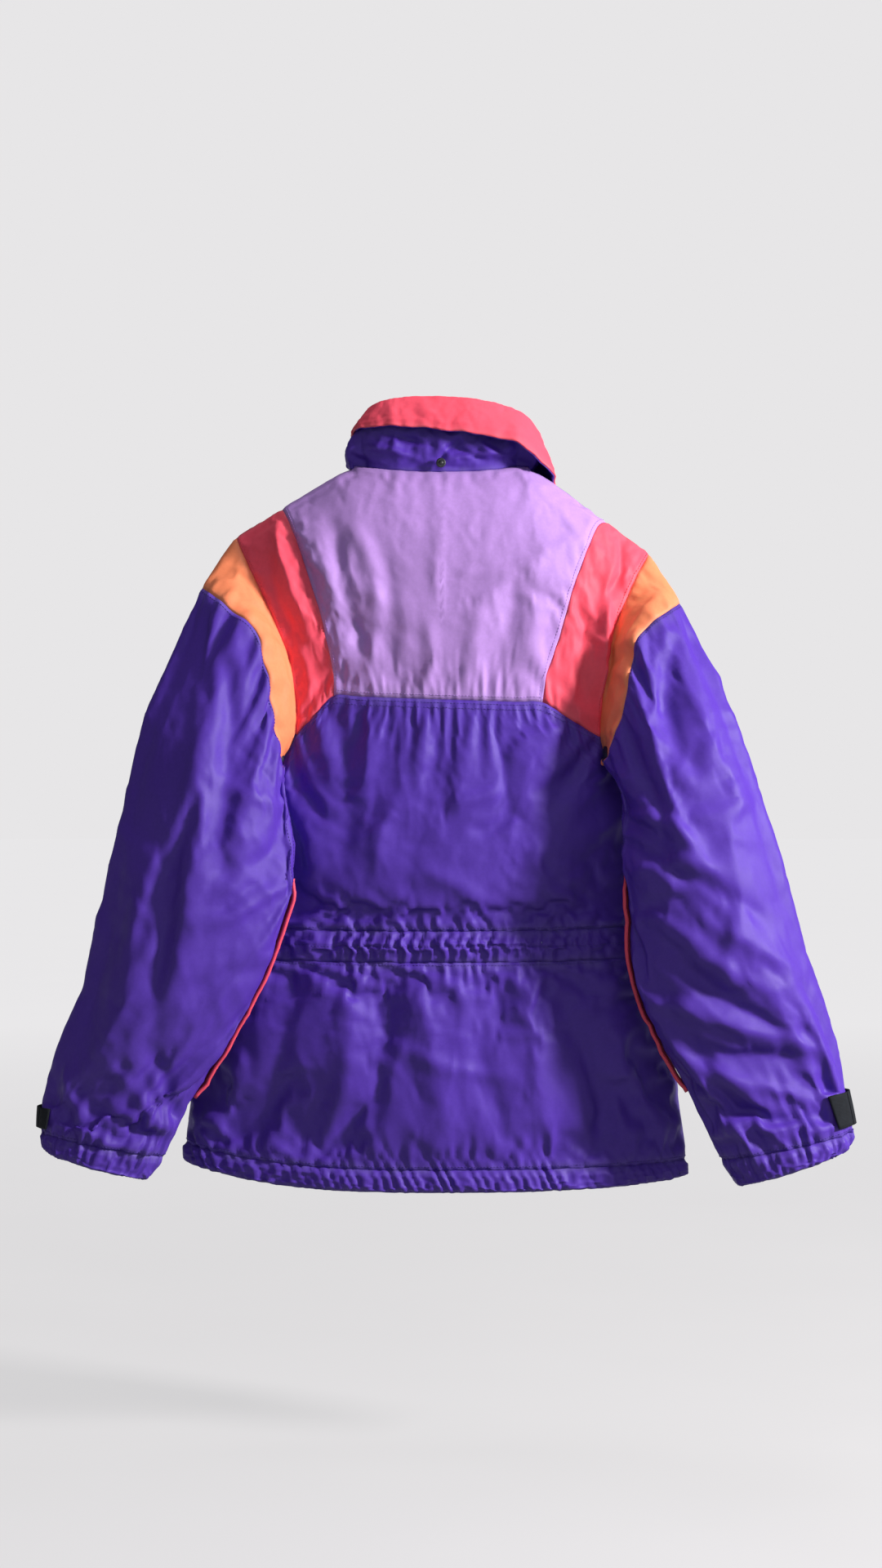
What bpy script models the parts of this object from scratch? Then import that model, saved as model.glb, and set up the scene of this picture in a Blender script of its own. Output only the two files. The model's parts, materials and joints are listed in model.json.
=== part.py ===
"""Padded ski jacket, hanging open at the neck and hem, as sewn layers of separate panels.

Frame: the origin is where the hanger loop bears, inside the back neck seam. +Z is up, the
jacket's back faces -Y, and +X is the wearer's right. All lengths are metres.
"""

import math

import bpy
import numpy as np
from mathutils import Vector

# Driving dimensions
RIDGE_Y = 0.009  # depth of the shoulder seams
SIDE_Y = 0.016  # depth of the side seams
BACK_Y = -0.056  # middle of the back
FRONT_Y = 0.089  # middle of the front, where the zip runs
BACK_ROUND = 0.120  # height over which the back rolls into the shoulder seam
FRONT_ROUND = 0.085
UNDERARM_Z = -0.320
UNDERARM_HALF_WIDTH = 0.200
UPPER_WIDTH_GAIN = 0.22  # widening of the section for each metre above the underarm
ZIP_HALF_GAP = 0.010  # each front panel stops this far from the middle
NECK_CORNER = (0.094, 0.010)
SLEEVE_TO_BACK = 0.010  # air between a hanging sleeve and the back it lies on

# Depths below the outer surface at which each layer starts and ends
SHELL = (0.0, 0.0012)
ELASTIC = (0.0015, 0.0023)
WADDING = (0.0026, 0.0066)
LINING = (0.0069, 0.0079)
POCKET = (0.0083, 0.0107)
SEAM_GAP = 0.0003
ARMHOLE_GAP = 0.0015  # the sleeve turns, so it keeps further off
UNDERARM_THINNING = 0.25  # share of the layers' depth that is left at the underarm, where the fabric folds

# Rows of the panel grid, counted down from the shoulder and neck line
YOKE_ROW = 4
UNDERARM_ROW = 6
CASING_ROWS = (8, 9)
HEM_ROWS = (12, 13)
# Columns counted from the side or armhole to the middle
CORAL_COLUMN = 2
NECK_COLUMN = 4
MIDDLE_COLUMN = 6
WIDTH_FRACTIONS = (1.0, 0.88, 0.68, 0.46, 0.31, 0.155, 0.0)

# Outlines, each point (distance from the middle, height)
SIDES = {
    "left": {
        "sign": -1,
        "tip": (0.214, -0.064),
        "coral_top": (0.166, -0.027),
        "armhole": ((0.196, -0.101), (0.170, -0.155), (0.152, -0.205), (0.149, -0.271), (0.172, -0.305)),
        "coral_bottom": (0.110, -0.231),
        "hem_half_width": 0.270,
        "hem_side_z": -0.712,
        "hem_seam_side_z": -0.693,
        # outer edge, inner edge, middle depth, half depth, bow towards the neck
        "sleeve": (
            ((0.246, -0.119), (0.1987, -0.2986), -0.021, 0.0578, 0.024),
            ((0.280, -0.200), (0.217, -0.307), -0.030, 0.0505, -0.010),
            ((0.303, -0.263), (0.190, -0.338), -0.0513, 0.056, 0.0),
            ((0.323, -0.354), (0.172, -0.388), -0.076, 0.046, 0.0),
            ((0.341, -0.432), (0.154, -0.440), -0.080, 0.046, 0.0),
            ((0.361, -0.520), (0.176, -0.505), -0.080, 0.045, 0.0),
            ((0.384, -0.577), (0.210, -0.570), -0.077, 0.042, 0.0),
            ((0.401, -0.635), (0.246, -0.628), -0.073, 0.038, 0.0),
            ((0.404, -0.672), (0.280, -0.697), -0.070, 0.034, 0.0),
            ((0.398, -0.692), (0.297, -0.720), -0.070, 0.034, 0.0),
        ),
    },
    "right": {
        "sign": 1,
        "tip": (0.217, -0.081),
        "coral_top": (0.173, -0.031),
        "armhole": ((0.199, -0.112), (0.180, -0.158), (0.171, -0.205), (0.163, -0.273), (0.180, -0.306)),
        "coral_bottom": (0.104, -0.238),
        "hem_half_width": 0.257,
        "hem_side_z": -0.728,
        "hem_seam_side_z": -0.711,
        "sleeve": (
            ((0.246, -0.135), (0.1987, -0.2986), -0.021, 0.0578, 0.024),
            ((0.282, -0.213), (0.217, -0.307), -0.030, 0.0505, -0.010),
            ((0.305, -0.271), (0.190, -0.338), -0.0513, 0.056, 0.0),
            ((0.325, -0.338), (0.184, -0.383), -0.076, 0.046, 0.0),
            ((0.349, -0.418), (0.190, -0.438), -0.080, 0.046, 0.0),
            ((0.373, -0.504), (0.192, -0.500), -0.080, 0.045, 0.0),
            ((0.392, -0.554), (0.212, -0.560), -0.077, 0.042, 0.0),
            ((0.405, -0.615), (0.244, -0.622), -0.073, 0.038, 0.0),
            ((0.416, -0.672), (0.283, -0.700), -0.070, 0.034, 0.0),
            ((0.408, -0.691), (0.299, -0.727), -0.070, 0.034, 0.0),
        ),
    },
}
# Heights in the middle of the back at each grid row, from the neck to the hem edge
MIDDLE_HEIGHTS = (0.0, -0.060, -0.120, -0.180, -0.235, -0.295, -0.350, -0.412, -0.471, -0.503,
                  -0.575, -0.645, -0.714, -0.737)
SIDE_HEIGHTS = {6: UNDERARM_Z, 7: -0.395, 8: -0.466, 9: -0.498, 10: -0.565, 11: -0.630}
FRONT_NECK = ((0.062, -0.048), (ZIP_HALF_GAP, -0.075))
SLEEVE_CAP_RINGS = (0, 1)
SLEEVE_RINGS = (1, 9)
CUFF_RINGS = (9, 10)
RING_POINTS = 12

# Small parts
ZIP_TOP_Z = -0.080
ZIP_BOTTOM_Z = -0.728
FLAP_TOP_Z = -0.140
FLAP_BOTTOM_Z = -0.700
FLAP_INNER_Y = FRONT_Y + 0.0085
FLAP_THICKNESS = 0.004
SNAP_HEIGHTS = (-0.175, -0.420, -0.665)
SNAP_X = 0.022
SLIDER_TOP_Z = -0.088
POCKET_TOP = (0.118, -0.530)
POCKET_BOTTOM = (0.158, -0.655)
HOOD_SNAP_Z = 0.010

COLOURS = {
    "purple": ((0.089, 0.040, 0.330), 0.55, 0.0),
    "lilac": ((0.450, 0.255, 0.640), 0.55, 0.0),
    "coral": ((0.900, 0.090, 0.160), 0.55, 0.0),
    "orange": ((0.950, 0.260, 0.130), 0.55, 0.0),
    "wadding": ((0.700, 0.700, 0.680), 0.95, 0.0),
    "lining": ((0.012, 0.013, 0.030), 0.60, 0.0),
    "elastic": ((0.600, 0.600, 0.580), 0.80, 0.0),
    "black_plastic": ((0.010, 0.013, 0.018), 0.35, 0.0),
    "black_tape": ((0.010, 0.014, 0.022), 0.85, 0.0),
    "zip_tape": ((0.040, 0.020, 0.150), 0.75, 0.0),
}


def material(name):
    """The Principled material of this name, made on first use."""
    if name in bpy.data.materials:
        return bpy.data.materials[name]
    colour, roughness, metallic = COLOURS[name]
    made = bpy.data.materials.new(name)
    made.use_nodes = True
    shader = made.node_tree.nodes["Principled BSDF"]
    shader.inputs["Base Color"].default_value = (*colour, 1.0)
    shader.inputs["Roughness"].default_value = roughness
    shader.inputs["Metallic"].default_value = metallic
    return made


def add_node(name, points, faces, finish, origin=(0.0, 0.0, 0.0)):
    """One object from a closed mesh, with its own origin."""
    mesh = bpy.data.meshes.new(name)
    origin = Vector(origin)
    mesh.from_pydata([Vector(p) - origin for p in points], [], faces)
    mesh.update()
    mesh.shade_smooth()
    mesh.set_sharp_from_angle(angle=math.radians(40))
    mesh.materials.append(material(finish))
    made = bpy.data.objects.new(name, mesh)
    made.location = origin
    bpy.context.scene.collection.objects.link(made)
    return made


# The outer surface: a grid of points for each part of the torso, and rings for each sleeve


def half_width(z, side):
    """Half the torso's width at a height."""
    if z > UNDERARM_Z:
        return UNDERARM_HALF_WIDTH + UPPER_WIDTH_GAIN * (z - UNDERARM_Z)
    share = min((UNDERARM_Z - z) / (UNDERARM_Z - side["hem_side_z"]), 1.0) ** 0.7
    return UNDERARM_HALF_WIDTH + share * (side["hem_half_width"] - UNDERARM_HALF_WIDTH)


def shoulder_height(x, side):
    """Height of the shoulder seam at a distance from the middle."""
    (neck_x, neck_z), (tip_x, tip_z) = NECK_CORNER, side["tip"]
    share = np.clip((x - neck_x) / (tip_x - neck_x), 0.0, 1.0)
    return neck_z + share * (tip_z - neck_z)


def depth(x, z, side, middle_y, roll):
    """Y of the torso's surface: a lens section that rolls into the shoulder seam."""
    across = min(x / half_width(z, side), 1.0)
    lens = SIDE_Y + (middle_y - SIDE_Y) * math.sqrt(1.0 - across**2)
    drop = np.clip((shoulder_height(x, side) - z) / roll, 0.0, 1.0)
    return RIDGE_Y + (lens - RIDGE_Y) * math.sqrt(1.0 - (1.0 - drop) ** 2)


def between(a, b, share):
    return np.asarray(a) + share * (np.asarray(b) - np.asarray(a))


def yoke_rows(side, neck, middle_x, heights):
    """Outline points (x, z) of the yoke's rows, from the shoulder line to the yoke seam."""
    top = [side["tip"], between(side["tip"], side["coral_top"], 0.5), side["coral_top"]]
    top += [between(side["coral_top"], NECK_CORNER, 0.5), NECK_CORNER, *neck]
    middle = (middle_x, heights[YOKE_ROW])
    bottom = [side["armhole"][3], between(side["armhole"][3], side["coral_bottom"], 0.5)]
    bottom += [between(side["coral_bottom"], middle, share) for share in (0.0, 0.25, 0.5, 0.75, 1.0)]
    rows = [top]
    for row in range(1, YOKE_ROW):
        edge = side["armhole"][row - 1]
        share = (side["tip"][1] - edge[1]) / (side["tip"][1] - side["armhole"][3][1])
        bulge = np.asarray(edge) - between(top[0], bottom[0], share)
        line = []
        for column in range(MIDDLE_COLUMN + 1):
            fade = max(0.0, 1.0 - column / NECK_COLUMN)
            line.append(between(top[column], bottom[column], share) + fade * bulge)
        rows.append(line)
    return rows + [bottom]


def lower_rows(side, middle_x, heights):
    """Outline points (x, z) of the rows below the yoke seam."""
    sides = dict(SIDE_HEIGHTS)
    sides[HEM_ROWS[0]] = side["hem_seam_side_z"]
    sides[HEM_ROWS[1]] = side["hem_side_z"]
    rows = []
    under = [(0.152, -0.308), (0.128, -0.300), (0.098, -0.296), (0.066, -0.295), (0.033, -0.295)]
    rows.append([side["armhole"][4], *under, (0.0, heights[YOKE_ROW + 1])])
    for row in range(UNDERARM_ROW, HEM_ROWS[1] + 1):
        width = half_width(sides[row], side)
        line = []
        for fraction in WIDTH_FRACTIONS:
            z = heights[row] + (sides[row] - heights[row]) * fraction**3
            line.append((fraction * width, z))
        rows.append(line)
    return [[(max(x, middle_x), z) for x, z in line] for line in rows]


def half_grid(side, front):
    """Points of half the back or half the front, rows by columns, side to middle."""
    heights = list(MIDDLE_HEIGHTS)
    neck = [(0.048, 0.0005), (0.0, heights[0])]
    middle_x, middle_y, roll = 0.0, BACK_Y, BACK_ROUND
    if front:
        neck, middle_x, middle_y, roll = list(FRONT_NECK), ZIP_HALF_GAP, FRONT_Y, FRONT_ROUND
    rows = yoke_rows(side, neck, middle_x, heights) + lower_rows(side, middle_x, heights)
    grid = np.zeros((len(rows), MIDDLE_COLUMN + 1, 3))
    for r, line in enumerate(rows):
        for c, (x, z) in enumerate(line):
            grid[r, c] = (side["sign"] * x, depth(x, z, side, middle_y, roll), z)
    return grid


def sleeve_rings(side, back, front):
    """Rings of points down the sleeve: ring 0 is the armhole, point 0 the outer edge, 6 the inner."""
    armhole = [back[r, 0] for r in range(UNDERARM_ROW + 1)]
    armhole += [front[r, 0] for r in range(UNDERARM_ROW - 1, 0, -1)]
    rings = [np.array(armhole)]
    for outer, inner, middle_y, half_depth, bow in side["sleeve"]:
        ring = []
        for k in range(RING_POINTS):
            ring.append(ring_point(side, outer, inner, middle_y, half_depth, bow, math.tau * k / RING_POINTS))
        rings.append(ring)
    return np.array(rings)


def ring_point(side, outer, inner, middle_y, half_depth, bow, angle):
    """A point of a sleeve section; it stays clear of the back that the sleeve hangs against."""
    x, z = between(outer, inner, (1.0 - math.cos(angle)) / 2)
    x -= bow * math.sin(angle) ** 2
    y = middle_y - half_depth * math.sin(angle)
    if z < UNDERARM_Z + 0.006 and x < half_width(z, side):
        y = min(y, depth(x, z, side, BACK_Y, BACK_ROUND) - SLEEVE_TO_BACK)
    return side["sign"] * x, y, z


def sleeve_section(side, station, angle):
    """A point between two listed sleeve sections; station 1.5 is halfway from the first to the second."""
    low = int(station) - 1
    share = station - int(station)
    (o1, i1, y1, d1, b1), (o2, i2, y2, d2, b2) = side["sleeve"][low], side["sleeve"][low + 1]
    return np.array(
        ring_point(
            side,
            between(o1, o2, share),
            between(i1, i2, share),
            y1 + share * (y2 - y1),
            d1 + share * (d2 - d1),
            b1 + share * (b2 - b1),
            angle,
        )
    )


def grid_triangles(rows, columns, wrapped):
    """Index triples of a grid's faces, with the same diagonals for every layer."""
    found = []
    for r in range(rows - 1):
        for c in range(columns if wrapped else columns - 1):
            a, b = r * columns + c, r * columns + (c + 1) % columns
            d, e = a + columns, b + columns
            found += [(a, d, b), (b, d, e)]
    return found


def shared_normals(grids):
    """Outward normals of all grids, smoothed across the seams where their points meet."""
    total = {}
    for points, wrapped, flip in grids:
        flat = points.reshape(-1, 3)
        for triangle in grid_triangles(points.shape[0], points.shape[1], wrapped):
            a, b, c = flat[list(triangle)]
            normal = np.cross(b - a, c - a) * (-1 if flip else 1)
            for p in (a, b, c):
                key = tuple(np.round(p, 5))
                total[key] = total.get(key, 0) + normal
    result = []
    for points, _, _ in grids:
        flat = np.array([total[tuple(np.round(p, 5))] for p in points.reshape(-1, 3)])
        flat /= np.linalg.norm(flat, axis=1)[:, None]
        result.append(flat.reshape(points.shape))
    return result


def inset(points, wrapped, first_gap):
    """The grid with its open edges pulled in, so that neighbouring panels don't touch."""
    moved = points.copy()
    gaps = [first_gap, SEAM_GAP, SEAM_GAP, SEAM_GAP]
    pairs = [((0, slice(None)), (1, slice(None))), ((-1, slice(None)), (-2, slice(None)))]
    if not wrapped:
        pairs += [((slice(None), 0), (slice(None), 1)), ((slice(None), -1), (slice(None), -2))]
    for (edge, inner), gap in zip(pairs, gaps):
        way = points[inner] - points[edge]
        moved[edge] += gap * way / np.linalg.norm(way, axis=-1)[..., None]
    return moved


def thinning(points):
    """How much of the full depth the layers have at each point: less close to the underarm."""
    thin = np.ones(points.shape[:2])
    for side in SIDES.values():
        underarm = np.array([side["sign"] * UNDERARM_HALF_WIDTH, SIDE_Y, UNDERARM_Z])
        away = np.linalg.norm((points - underarm) * (1.0, 0.6, 1.0), axis=-1)
        thin = np.minimum(thin, np.clip(UNDERARM_THINNING + (away - 0.060) / 0.080, UNDERARM_THINNING, 1.0))
    return thin[..., None]


def layer(name, surface, rows, columns, depths, finish, origin=(0.0, 0.0, 0.0)):
    """A panel of one layer: a block of a grid between two depths under the outer surface."""
    grid, normals, wrapped, flip = surface
    normals = normals * thinning(grid)
    block = (slice(rows[0], rows[1] + 1), slice(None) if wrapped else slice(columns[0], columns[1] + 1))
    first_gap = ARMHOLE_GAP if wrapped and rows[0] == 0 else SEAM_GAP
    points, outward = inset(grid[block], wrapped, first_gap), normals[block]
    shape = points.shape[:2]
    outer = (points - outward * depths[0]).reshape(-1, 3)
    inner = (points - outward * depths[1]).reshape(-1, 3)
    count = len(outer)
    faces = grid_triangles(*shape, wrapped)
    if flip:
        faces = [f[::-1] for f in faces]
    faces += [tuple(i + count for i in f[::-1]) for f in faces]
    faces += walls(faces, count)
    return add_node(name, np.concatenate([outer, inner]), faces, finish, origin)


def walls(faces, count):
    """Side faces that close the outer and inner skins along their open edges."""
    outer_edges = set()
    for a, b, c in faces:
        if max(a, b, c) < count:
            outer_edges |= {(a, b), (b, c), (c, a)}
    found = []
    for a, b in sorted(outer_edges):
        if (b, a) not in outer_edges:
            found += [(b, a, a + count), (b, a + count, b + count)]
    return found


def sweep(name, profiles, finish, origin=(0.0, 0.0, 0.0)):
    """A closed solid through a list of matching closed outlines, capped at both ends."""
    columns = len(profiles[0])
    points = [p for profile in profiles for p in profile]
    faces = grid_triangles(len(profiles), columns, True)
    last = (len(profiles) - 1) * columns
    middle_first, middle_last = len(points), len(points) + 1
    points += [np.mean(profiles[0], axis=0), np.mean(profiles[-1], axis=0)]
    for c in range(columns):
        after = (c + 1) % columns
        faces.append((middle_first, c, after))
        faces.append((middle_last, last + after, last + c))
    if signed_volume(points, faces) < 0:
        faces = [f[::-1] for f in faces]
    return add_node(name, points, faces, finish, origin)


def strip(name, profiles, finish, origin=(0.0, 0.0, 0.0)):
    """Like sweep, for thin hooked outlines: the outline's two long sides are zipped together as end caps."""
    columns = len(profiles[0])
    points = [p for profile in profiles for p in profile]
    faces = grid_triangles(len(profiles), columns, True)
    last = (len(profiles) - 1) * columns
    for c in range(columns // 2 - 1):
        a, b, d, e = c, c + 1, columns - 1 - c, columns - 2 - c
        faces += [(a, b, e), (a, e, d)]
        faces += [(last + b, last + a, last + d), (last + b, last + d, last + e)]
    if signed_volume(points, faces) < 0:
        faces = [f[::-1] for f in faces]
    return add_node(name, points, faces, finish, origin)


def signed_volume(points, faces):
    corners = np.array([[points[i] for i in f] for f in faces])
    return float(np.einsum("ij,ij->i", corners[:, 0], np.cross(corners[:, 1], corners[:, 2])).sum())


def torso_surfaces():
    """The back, both half fronts and both sleeves, with normals shared across their seams."""
    halves = {}
    for name, side in SIDES.items():
        halves[name] = (half_grid(side, False), half_grid(side, True))
    back = np.concatenate([halves["left"][0], halves["right"][0][:, -2::-1]], axis=1)
    grids = {"back": (back, False, False)}
    for name, side in SIDES.items():
        back_half, front_half = halves[name]
        mirrored = side["sign"] > 0
        grids["front_" + name] = (front_half, False, not mirrored)
        grids["sleeve_" + name] = (sleeve_rings(side, back_half, front_half), True, mirrored)
    normals = shared_normals(list(grids.values()))
    surfaces = {}
    for (name, (points, wrapped, flip)), outward in zip(grids.items(), normals):
        surfaces[name] = (points, outward, wrapped, flip)
    return surfaces


def make_back(surface):
    coral, far_coral = CORAL_COLUMN, 2 * MIDDLE_COLUMN - CORAL_COLUMN
    across = (0, 2 * MIDDLE_COLUMN)
    layer("back_yoke_shell", surface, (0, YOKE_ROW), (coral, far_coral), SHELL, "lilac")
    layer("back_coral_left_shell", surface, (0, YOKE_ROW), (0, coral), SHELL, "coral")
    layer("back_coral_right_shell", surface, (0, YOKE_ROW), (far_coral, across[1]), SHELL, "coral")
    layer("back_body_shell", surface, (YOKE_ROW, CASING_ROWS[0]), across, SHELL, "purple")
    layer("back_waist_casing", surface, CASING_ROWS, across, SHELL, "purple")
    layer("waist_elastic", surface, CASING_ROWS, (1, across[1] - 1), ELASTIC, "elastic")
    layer("back_skirt_shell", surface, (CASING_ROWS[1], HEM_ROWS[0]), across, SHELL, "purple")
    layer("back_hem_band", surface, HEM_ROWS, across, SHELL, "purple")
    layer("back_wadding", surface, (0, HEM_ROWS[1]), across, WADDING, "wadding")
    layer("back_lining", surface, (0, HEM_ROWS[1]), across, LINING, "lining")


def make_front(name, surface):
    across = (0, MIDDLE_COLUMN)
    prefix = "front_" + name
    layer(prefix + "_yoke_shell", surface, (0, YOKE_ROW), (CORAL_COLUMN, MIDDLE_COLUMN), SHELL, "lilac")
    layer(prefix + "_coral_shell", surface, (0, YOKE_ROW), (0, CORAL_COLUMN), SHELL, "coral")
    layer(prefix + "_body_shell", surface, (YOKE_ROW, HEM_ROWS[0]), across, SHELL, "purple")
    layer(prefix + "_hem_band", surface, HEM_ROWS, across, SHELL, "purple")
    layer(prefix + "_wadding", surface, (0, HEM_ROWS[1]), across, WADDING, "wadding")
    layer(prefix + "_lining", surface, (0, HEM_ROWS[1]), across, LINING, "lining")
    layer("pocket_bag_" + name, surface, (CASING_ROWS[1], HEM_ROWS[0]), (2, 4), POCKET, "lining")


def make_sleeve(name, side, surface):
    pivot = surface[0][0, 0]
    padded = (SLEEVE_RINGS[0], CUFF_RINGS[1])
    layer(f"sleeve_{name}_cap", surface, SLEEVE_CAP_RINGS, None, SHELL, "orange", pivot)
    layer(f"sleeve_{name}_shell", surface, SLEEVE_RINGS, None, SHELL, "purple", pivot)
    layer(f"sleeve_{name}_cuff_band", surface, CUFF_RINGS, None, SHELL, "purple", pivot)
    layer(f"sleeve_{name}_wadding", surface, padded, None, WADDING, "wadding", pivot)
    layer(f"sleeve_{name}_lining", surface, padded, None, LINING, "lining", pivot)
    make_piping(name, surface, pivot)
    make_cuff_tab(name, side)


def make_piping(name, surface, pivot):
    """Thin corded edge along the sleeve's inner fold."""
    rings, normals = surface[0], surface[1]
    inner = RING_POINTS // 2
    radius = 0.0015
    stations = range(4, 9)
    path = [rings[i, inner] + normals[i, inner] * (radius + 2 * SEAM_GAP) for i in stations]
    path[0] = between(path[0], path[1], 0.5)
    profiles = []
    for i, point in enumerate(path):
        ahead, behind = path[min(i + 1, len(path) - 1)], path[max(i - 1, 0)]
        along = (ahead - behind) / np.linalg.norm(ahead - behind)
        across = np.cross(along, normals[4 + i, inner])
        across /= np.linalg.norm(across)
        out = np.cross(across, along)
        angles = [math.tau * k / 6 for k in range(6)]
        profiles.append([point + radius * (math.cos(a) * out + math.sin(a) * across) for a in angles])
    sweep(f"sleeve_{name}_piping", profiles, "coral", pivot)


def make_cuff_tab(name, side):
    """Hook-and-loop tab round the cuff's outer edge, sewn at its back end, and the loop patch under it."""
    stations = (8.25, 8.85)
    start, end = math.radians(18), math.radians(-112)
    tab = cuff_strip(side, stations, (start, end), (0.0042, 0.0062), 7)
    hinge = (tab[0][0] + tab[0][1]) / 2
    strip(f"cuff_tab_{name}", tab, "black_tape", hinge)
    patch = cuff_strip(side, stations, (math.radians(-58), end), (0.0006, 0.0026), 5)
    strip(f"cuff_loop_patch_{name}", patch, "black_tape")


def cuff_strip(side, stations, angles, heights, count):
    """Outlines of a band that follows the cuff's section between two angles, standing off by two heights."""
    profiles = []
    for angle in np.linspace(*angles, count):
        pair = [sleeve_section(side, s, angle) for s in stations]
        near = [sleeve_section(side, s, angle + 0.02) for s in stations]
        along = pair[1] - pair[0]
        out = np.cross(along, near[0] - pair[0])
        out /= np.linalg.norm(out)
        if np.dot(out, pair[0] - sleeve_section(side, stations[0], angle + math.pi)) < 0:
            out = -out
        low, high = heights
        corners = ((0, low), (1, low), (1, high), (0, high))
        profiles.append([pair[k] + out * height for k, height in corners])
    return profiles


# The collar, its loop and the hood stud

COLLAR_STAND = ((0.0, 0.0025), (0.003, 0.022), (0.006, 0.045), (0.008, 0.062),
                (0.0028, 0.0625), (0.0008, 0.0454), (-0.0022, 0.0224), (-0.0052, 0.0025))
COLLAR_FACING = ((-0.0060, 0.0025), (-0.0030, 0.0224), (-0.0000, 0.0456), (0.0014, 0.0632),
                 (0.0022, 0.0655), (0.0085, 0.0660), (0.0120, 0.0625), (0.0150, 0.0460),
                 (0.0166, 0.0464), (0.0136, 0.0630), (0.0094, 0.0677), (0.0014, 0.0672),
                 (0.0000, 0.0638), (-0.0016, 0.0458), (-0.0046, 0.0226), (-0.0076, 0.0025))
COLLAR_HEIGHTS = (0.90, 0.95, 1.00, 1.10, 1.17, 1.10, 1.00, 0.95, 0.90)


def neck_path(surfaces):
    """Points of the neck seam from the left front edge round the back to the right front edge."""
    left, right = surfaces["front_left"][0][0], surfaces["front_right"][0][0]
    back = surfaces["back"][0][0]
    path = [left[MIDDLE_COLUMN], left[MIDDLE_COLUMN - 1]]
    path += list(back[NECK_COLUMN : 2 * MIDDLE_COLUMN - NECK_COLUMN + 1])
    return path + [right[MIDDLE_COLUMN - 1], right[MIDDLE_COLUMN]]


def collar_profiles(path, outline):
    """The outline, as (outward, up) offsets, stood up at each point of the neck seam."""
    profiles = []
    for i, point in enumerate(path):
        ahead, behind = path[min(i + 1, len(path) - 1)], path[max(i - 1, 0)]
        along = ahead - behind
        outward = np.array([along[1], -along[0], 0.0])
        outward /= np.linalg.norm(outward)
        grow = COLLAR_HEIGHTS[i]
        profiles.append([point + outward * o + np.array([0.0, 0.0, up * grow]) for o, up in outline])
    return profiles


def make_collar(surfaces):
    path = neck_path(surfaces)
    strip("collar_stand", collar_profiles(path, COLLAR_STAND), "purple")
    strip("collar_facing", collar_profiles(path, COLLAR_FACING), "coral")
    disc("hood_snap", (0.0, path[4][1] - 0.0040, HOOD_SNAP_Z), 0.0045, 0.0030, 16, "black_plastic")


def disc(name, centre, radius, thickness, sides, finish):
    """A low bevelled button with its flat face towards -Y or, with a negative thickness, +Y."""
    cx, cy, cz = centre
    profiles = []
    for y, r in ((thickness / 2, radius), (-thickness * 0.2, radius), (-thickness / 2, radius * 0.82)):
        ring = []
        for k in range(sides):
            angle = math.tau * k / sides
            ring.append(np.array([cx + r * math.cos(angle), cy + y, cz + r * math.sin(angle)]))
        profiles.append(ring)
    sweep(name, profiles, finish)


def make_hanger_loop(surfaces):
    """Flat tape arch whose underside is at the origin; its ends lie against the collar facing."""
    wall_y = neck_path(surfaces)[4][1] + 0.0078
    half_tape, thickness, half_span = 0.003, 0.0012, 0.032
    section = ((-thickness / 2, -half_tape), (thickness / 2, -half_tape),
               (thickness / 2, half_tape), (-thickness / 2, half_tape))
    profiles = []
    for i in range(9):
        t = -1 + i / 4
        x = half_span * t
        y = (wall_y + thickness) * t**2
        z = half_tape - 0.004 * t**2
        profiles.append([np.array([x, y + dy, z + dz]) for dy, dz in section])
    sweep("hanger_loop", profiles, "black_tape")


# The front closure: zip, storm flap and press studs


def upright(name, outline, bottom, top, finish, origin=(0.0, 0.0, 0.0)):
    """A prism along Z from an (x, y) outline."""
    sweep(name, [[np.array([x, y, z]) for x, y in outline] for z in (bottom, top)], finish, origin)


def make_zip():
    for name, sign in (("left", -1), ("right", 1)):
        bead_in, bead_out, tape_out = 0.00015, 0.0026, ZIP_HALF_GAP - SEAM_GAP
        outline = ((bead_in, -0.0034), (bead_out, -0.0034), (bead_out, -0.0022), (tape_out, -0.0022),
                   (tape_out, -0.0012), (bead_out, -0.0012), (bead_out, -0.0002), (bead_in, -0.0002))
        profiles = []
        for z in (ZIP_BOTTOM_Z, ZIP_TOP_Z):
            profiles.append([np.array([sign * x, FRONT_Y + y, z]) for x, y in outline])
        zip_half("zip_" + name, profiles)


def zip_half(name, profiles):
    """The tape with its bead, capped by two rectangles so that the hollow corners close cleanly."""
    points = [p for profile in profiles for p in profile]
    faces = grid_triangles(2, 8, True)
    cap = [(0, 1, 2), (0, 2, 5), (0, 5, 7), (5, 6, 7), (2, 3, 4), (2, 4, 5)]
    faces += cap
    faces += [tuple(i + 8 for i in f[::-1]) for f in cap]
    if signed_volume(points, faces) < 0:
        faces = [f[::-1] for f in faces]
    add_node(name, points, faces, "zip_tape")


def slab(name, low, high, finish, origin=(0.0, 0.0, 0.0)):
    """A box with its long edges chamfered."""
    (x1, y1, z1), (x2, y2, z2) = low, high
    cut = 0.25 * min(x2 - x1, y2 - y1)
    outline = ((x1 + cut, y1), (x2 - cut, y1), (x2, y1 + cut), (x2, y2 - cut),
               (x2 - cut, y2), (x1 + cut, y2), (x1, y2 - cut), (x1, y1 + cut))
    upright(name, outline, z1, z2, finish, origin)


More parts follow.
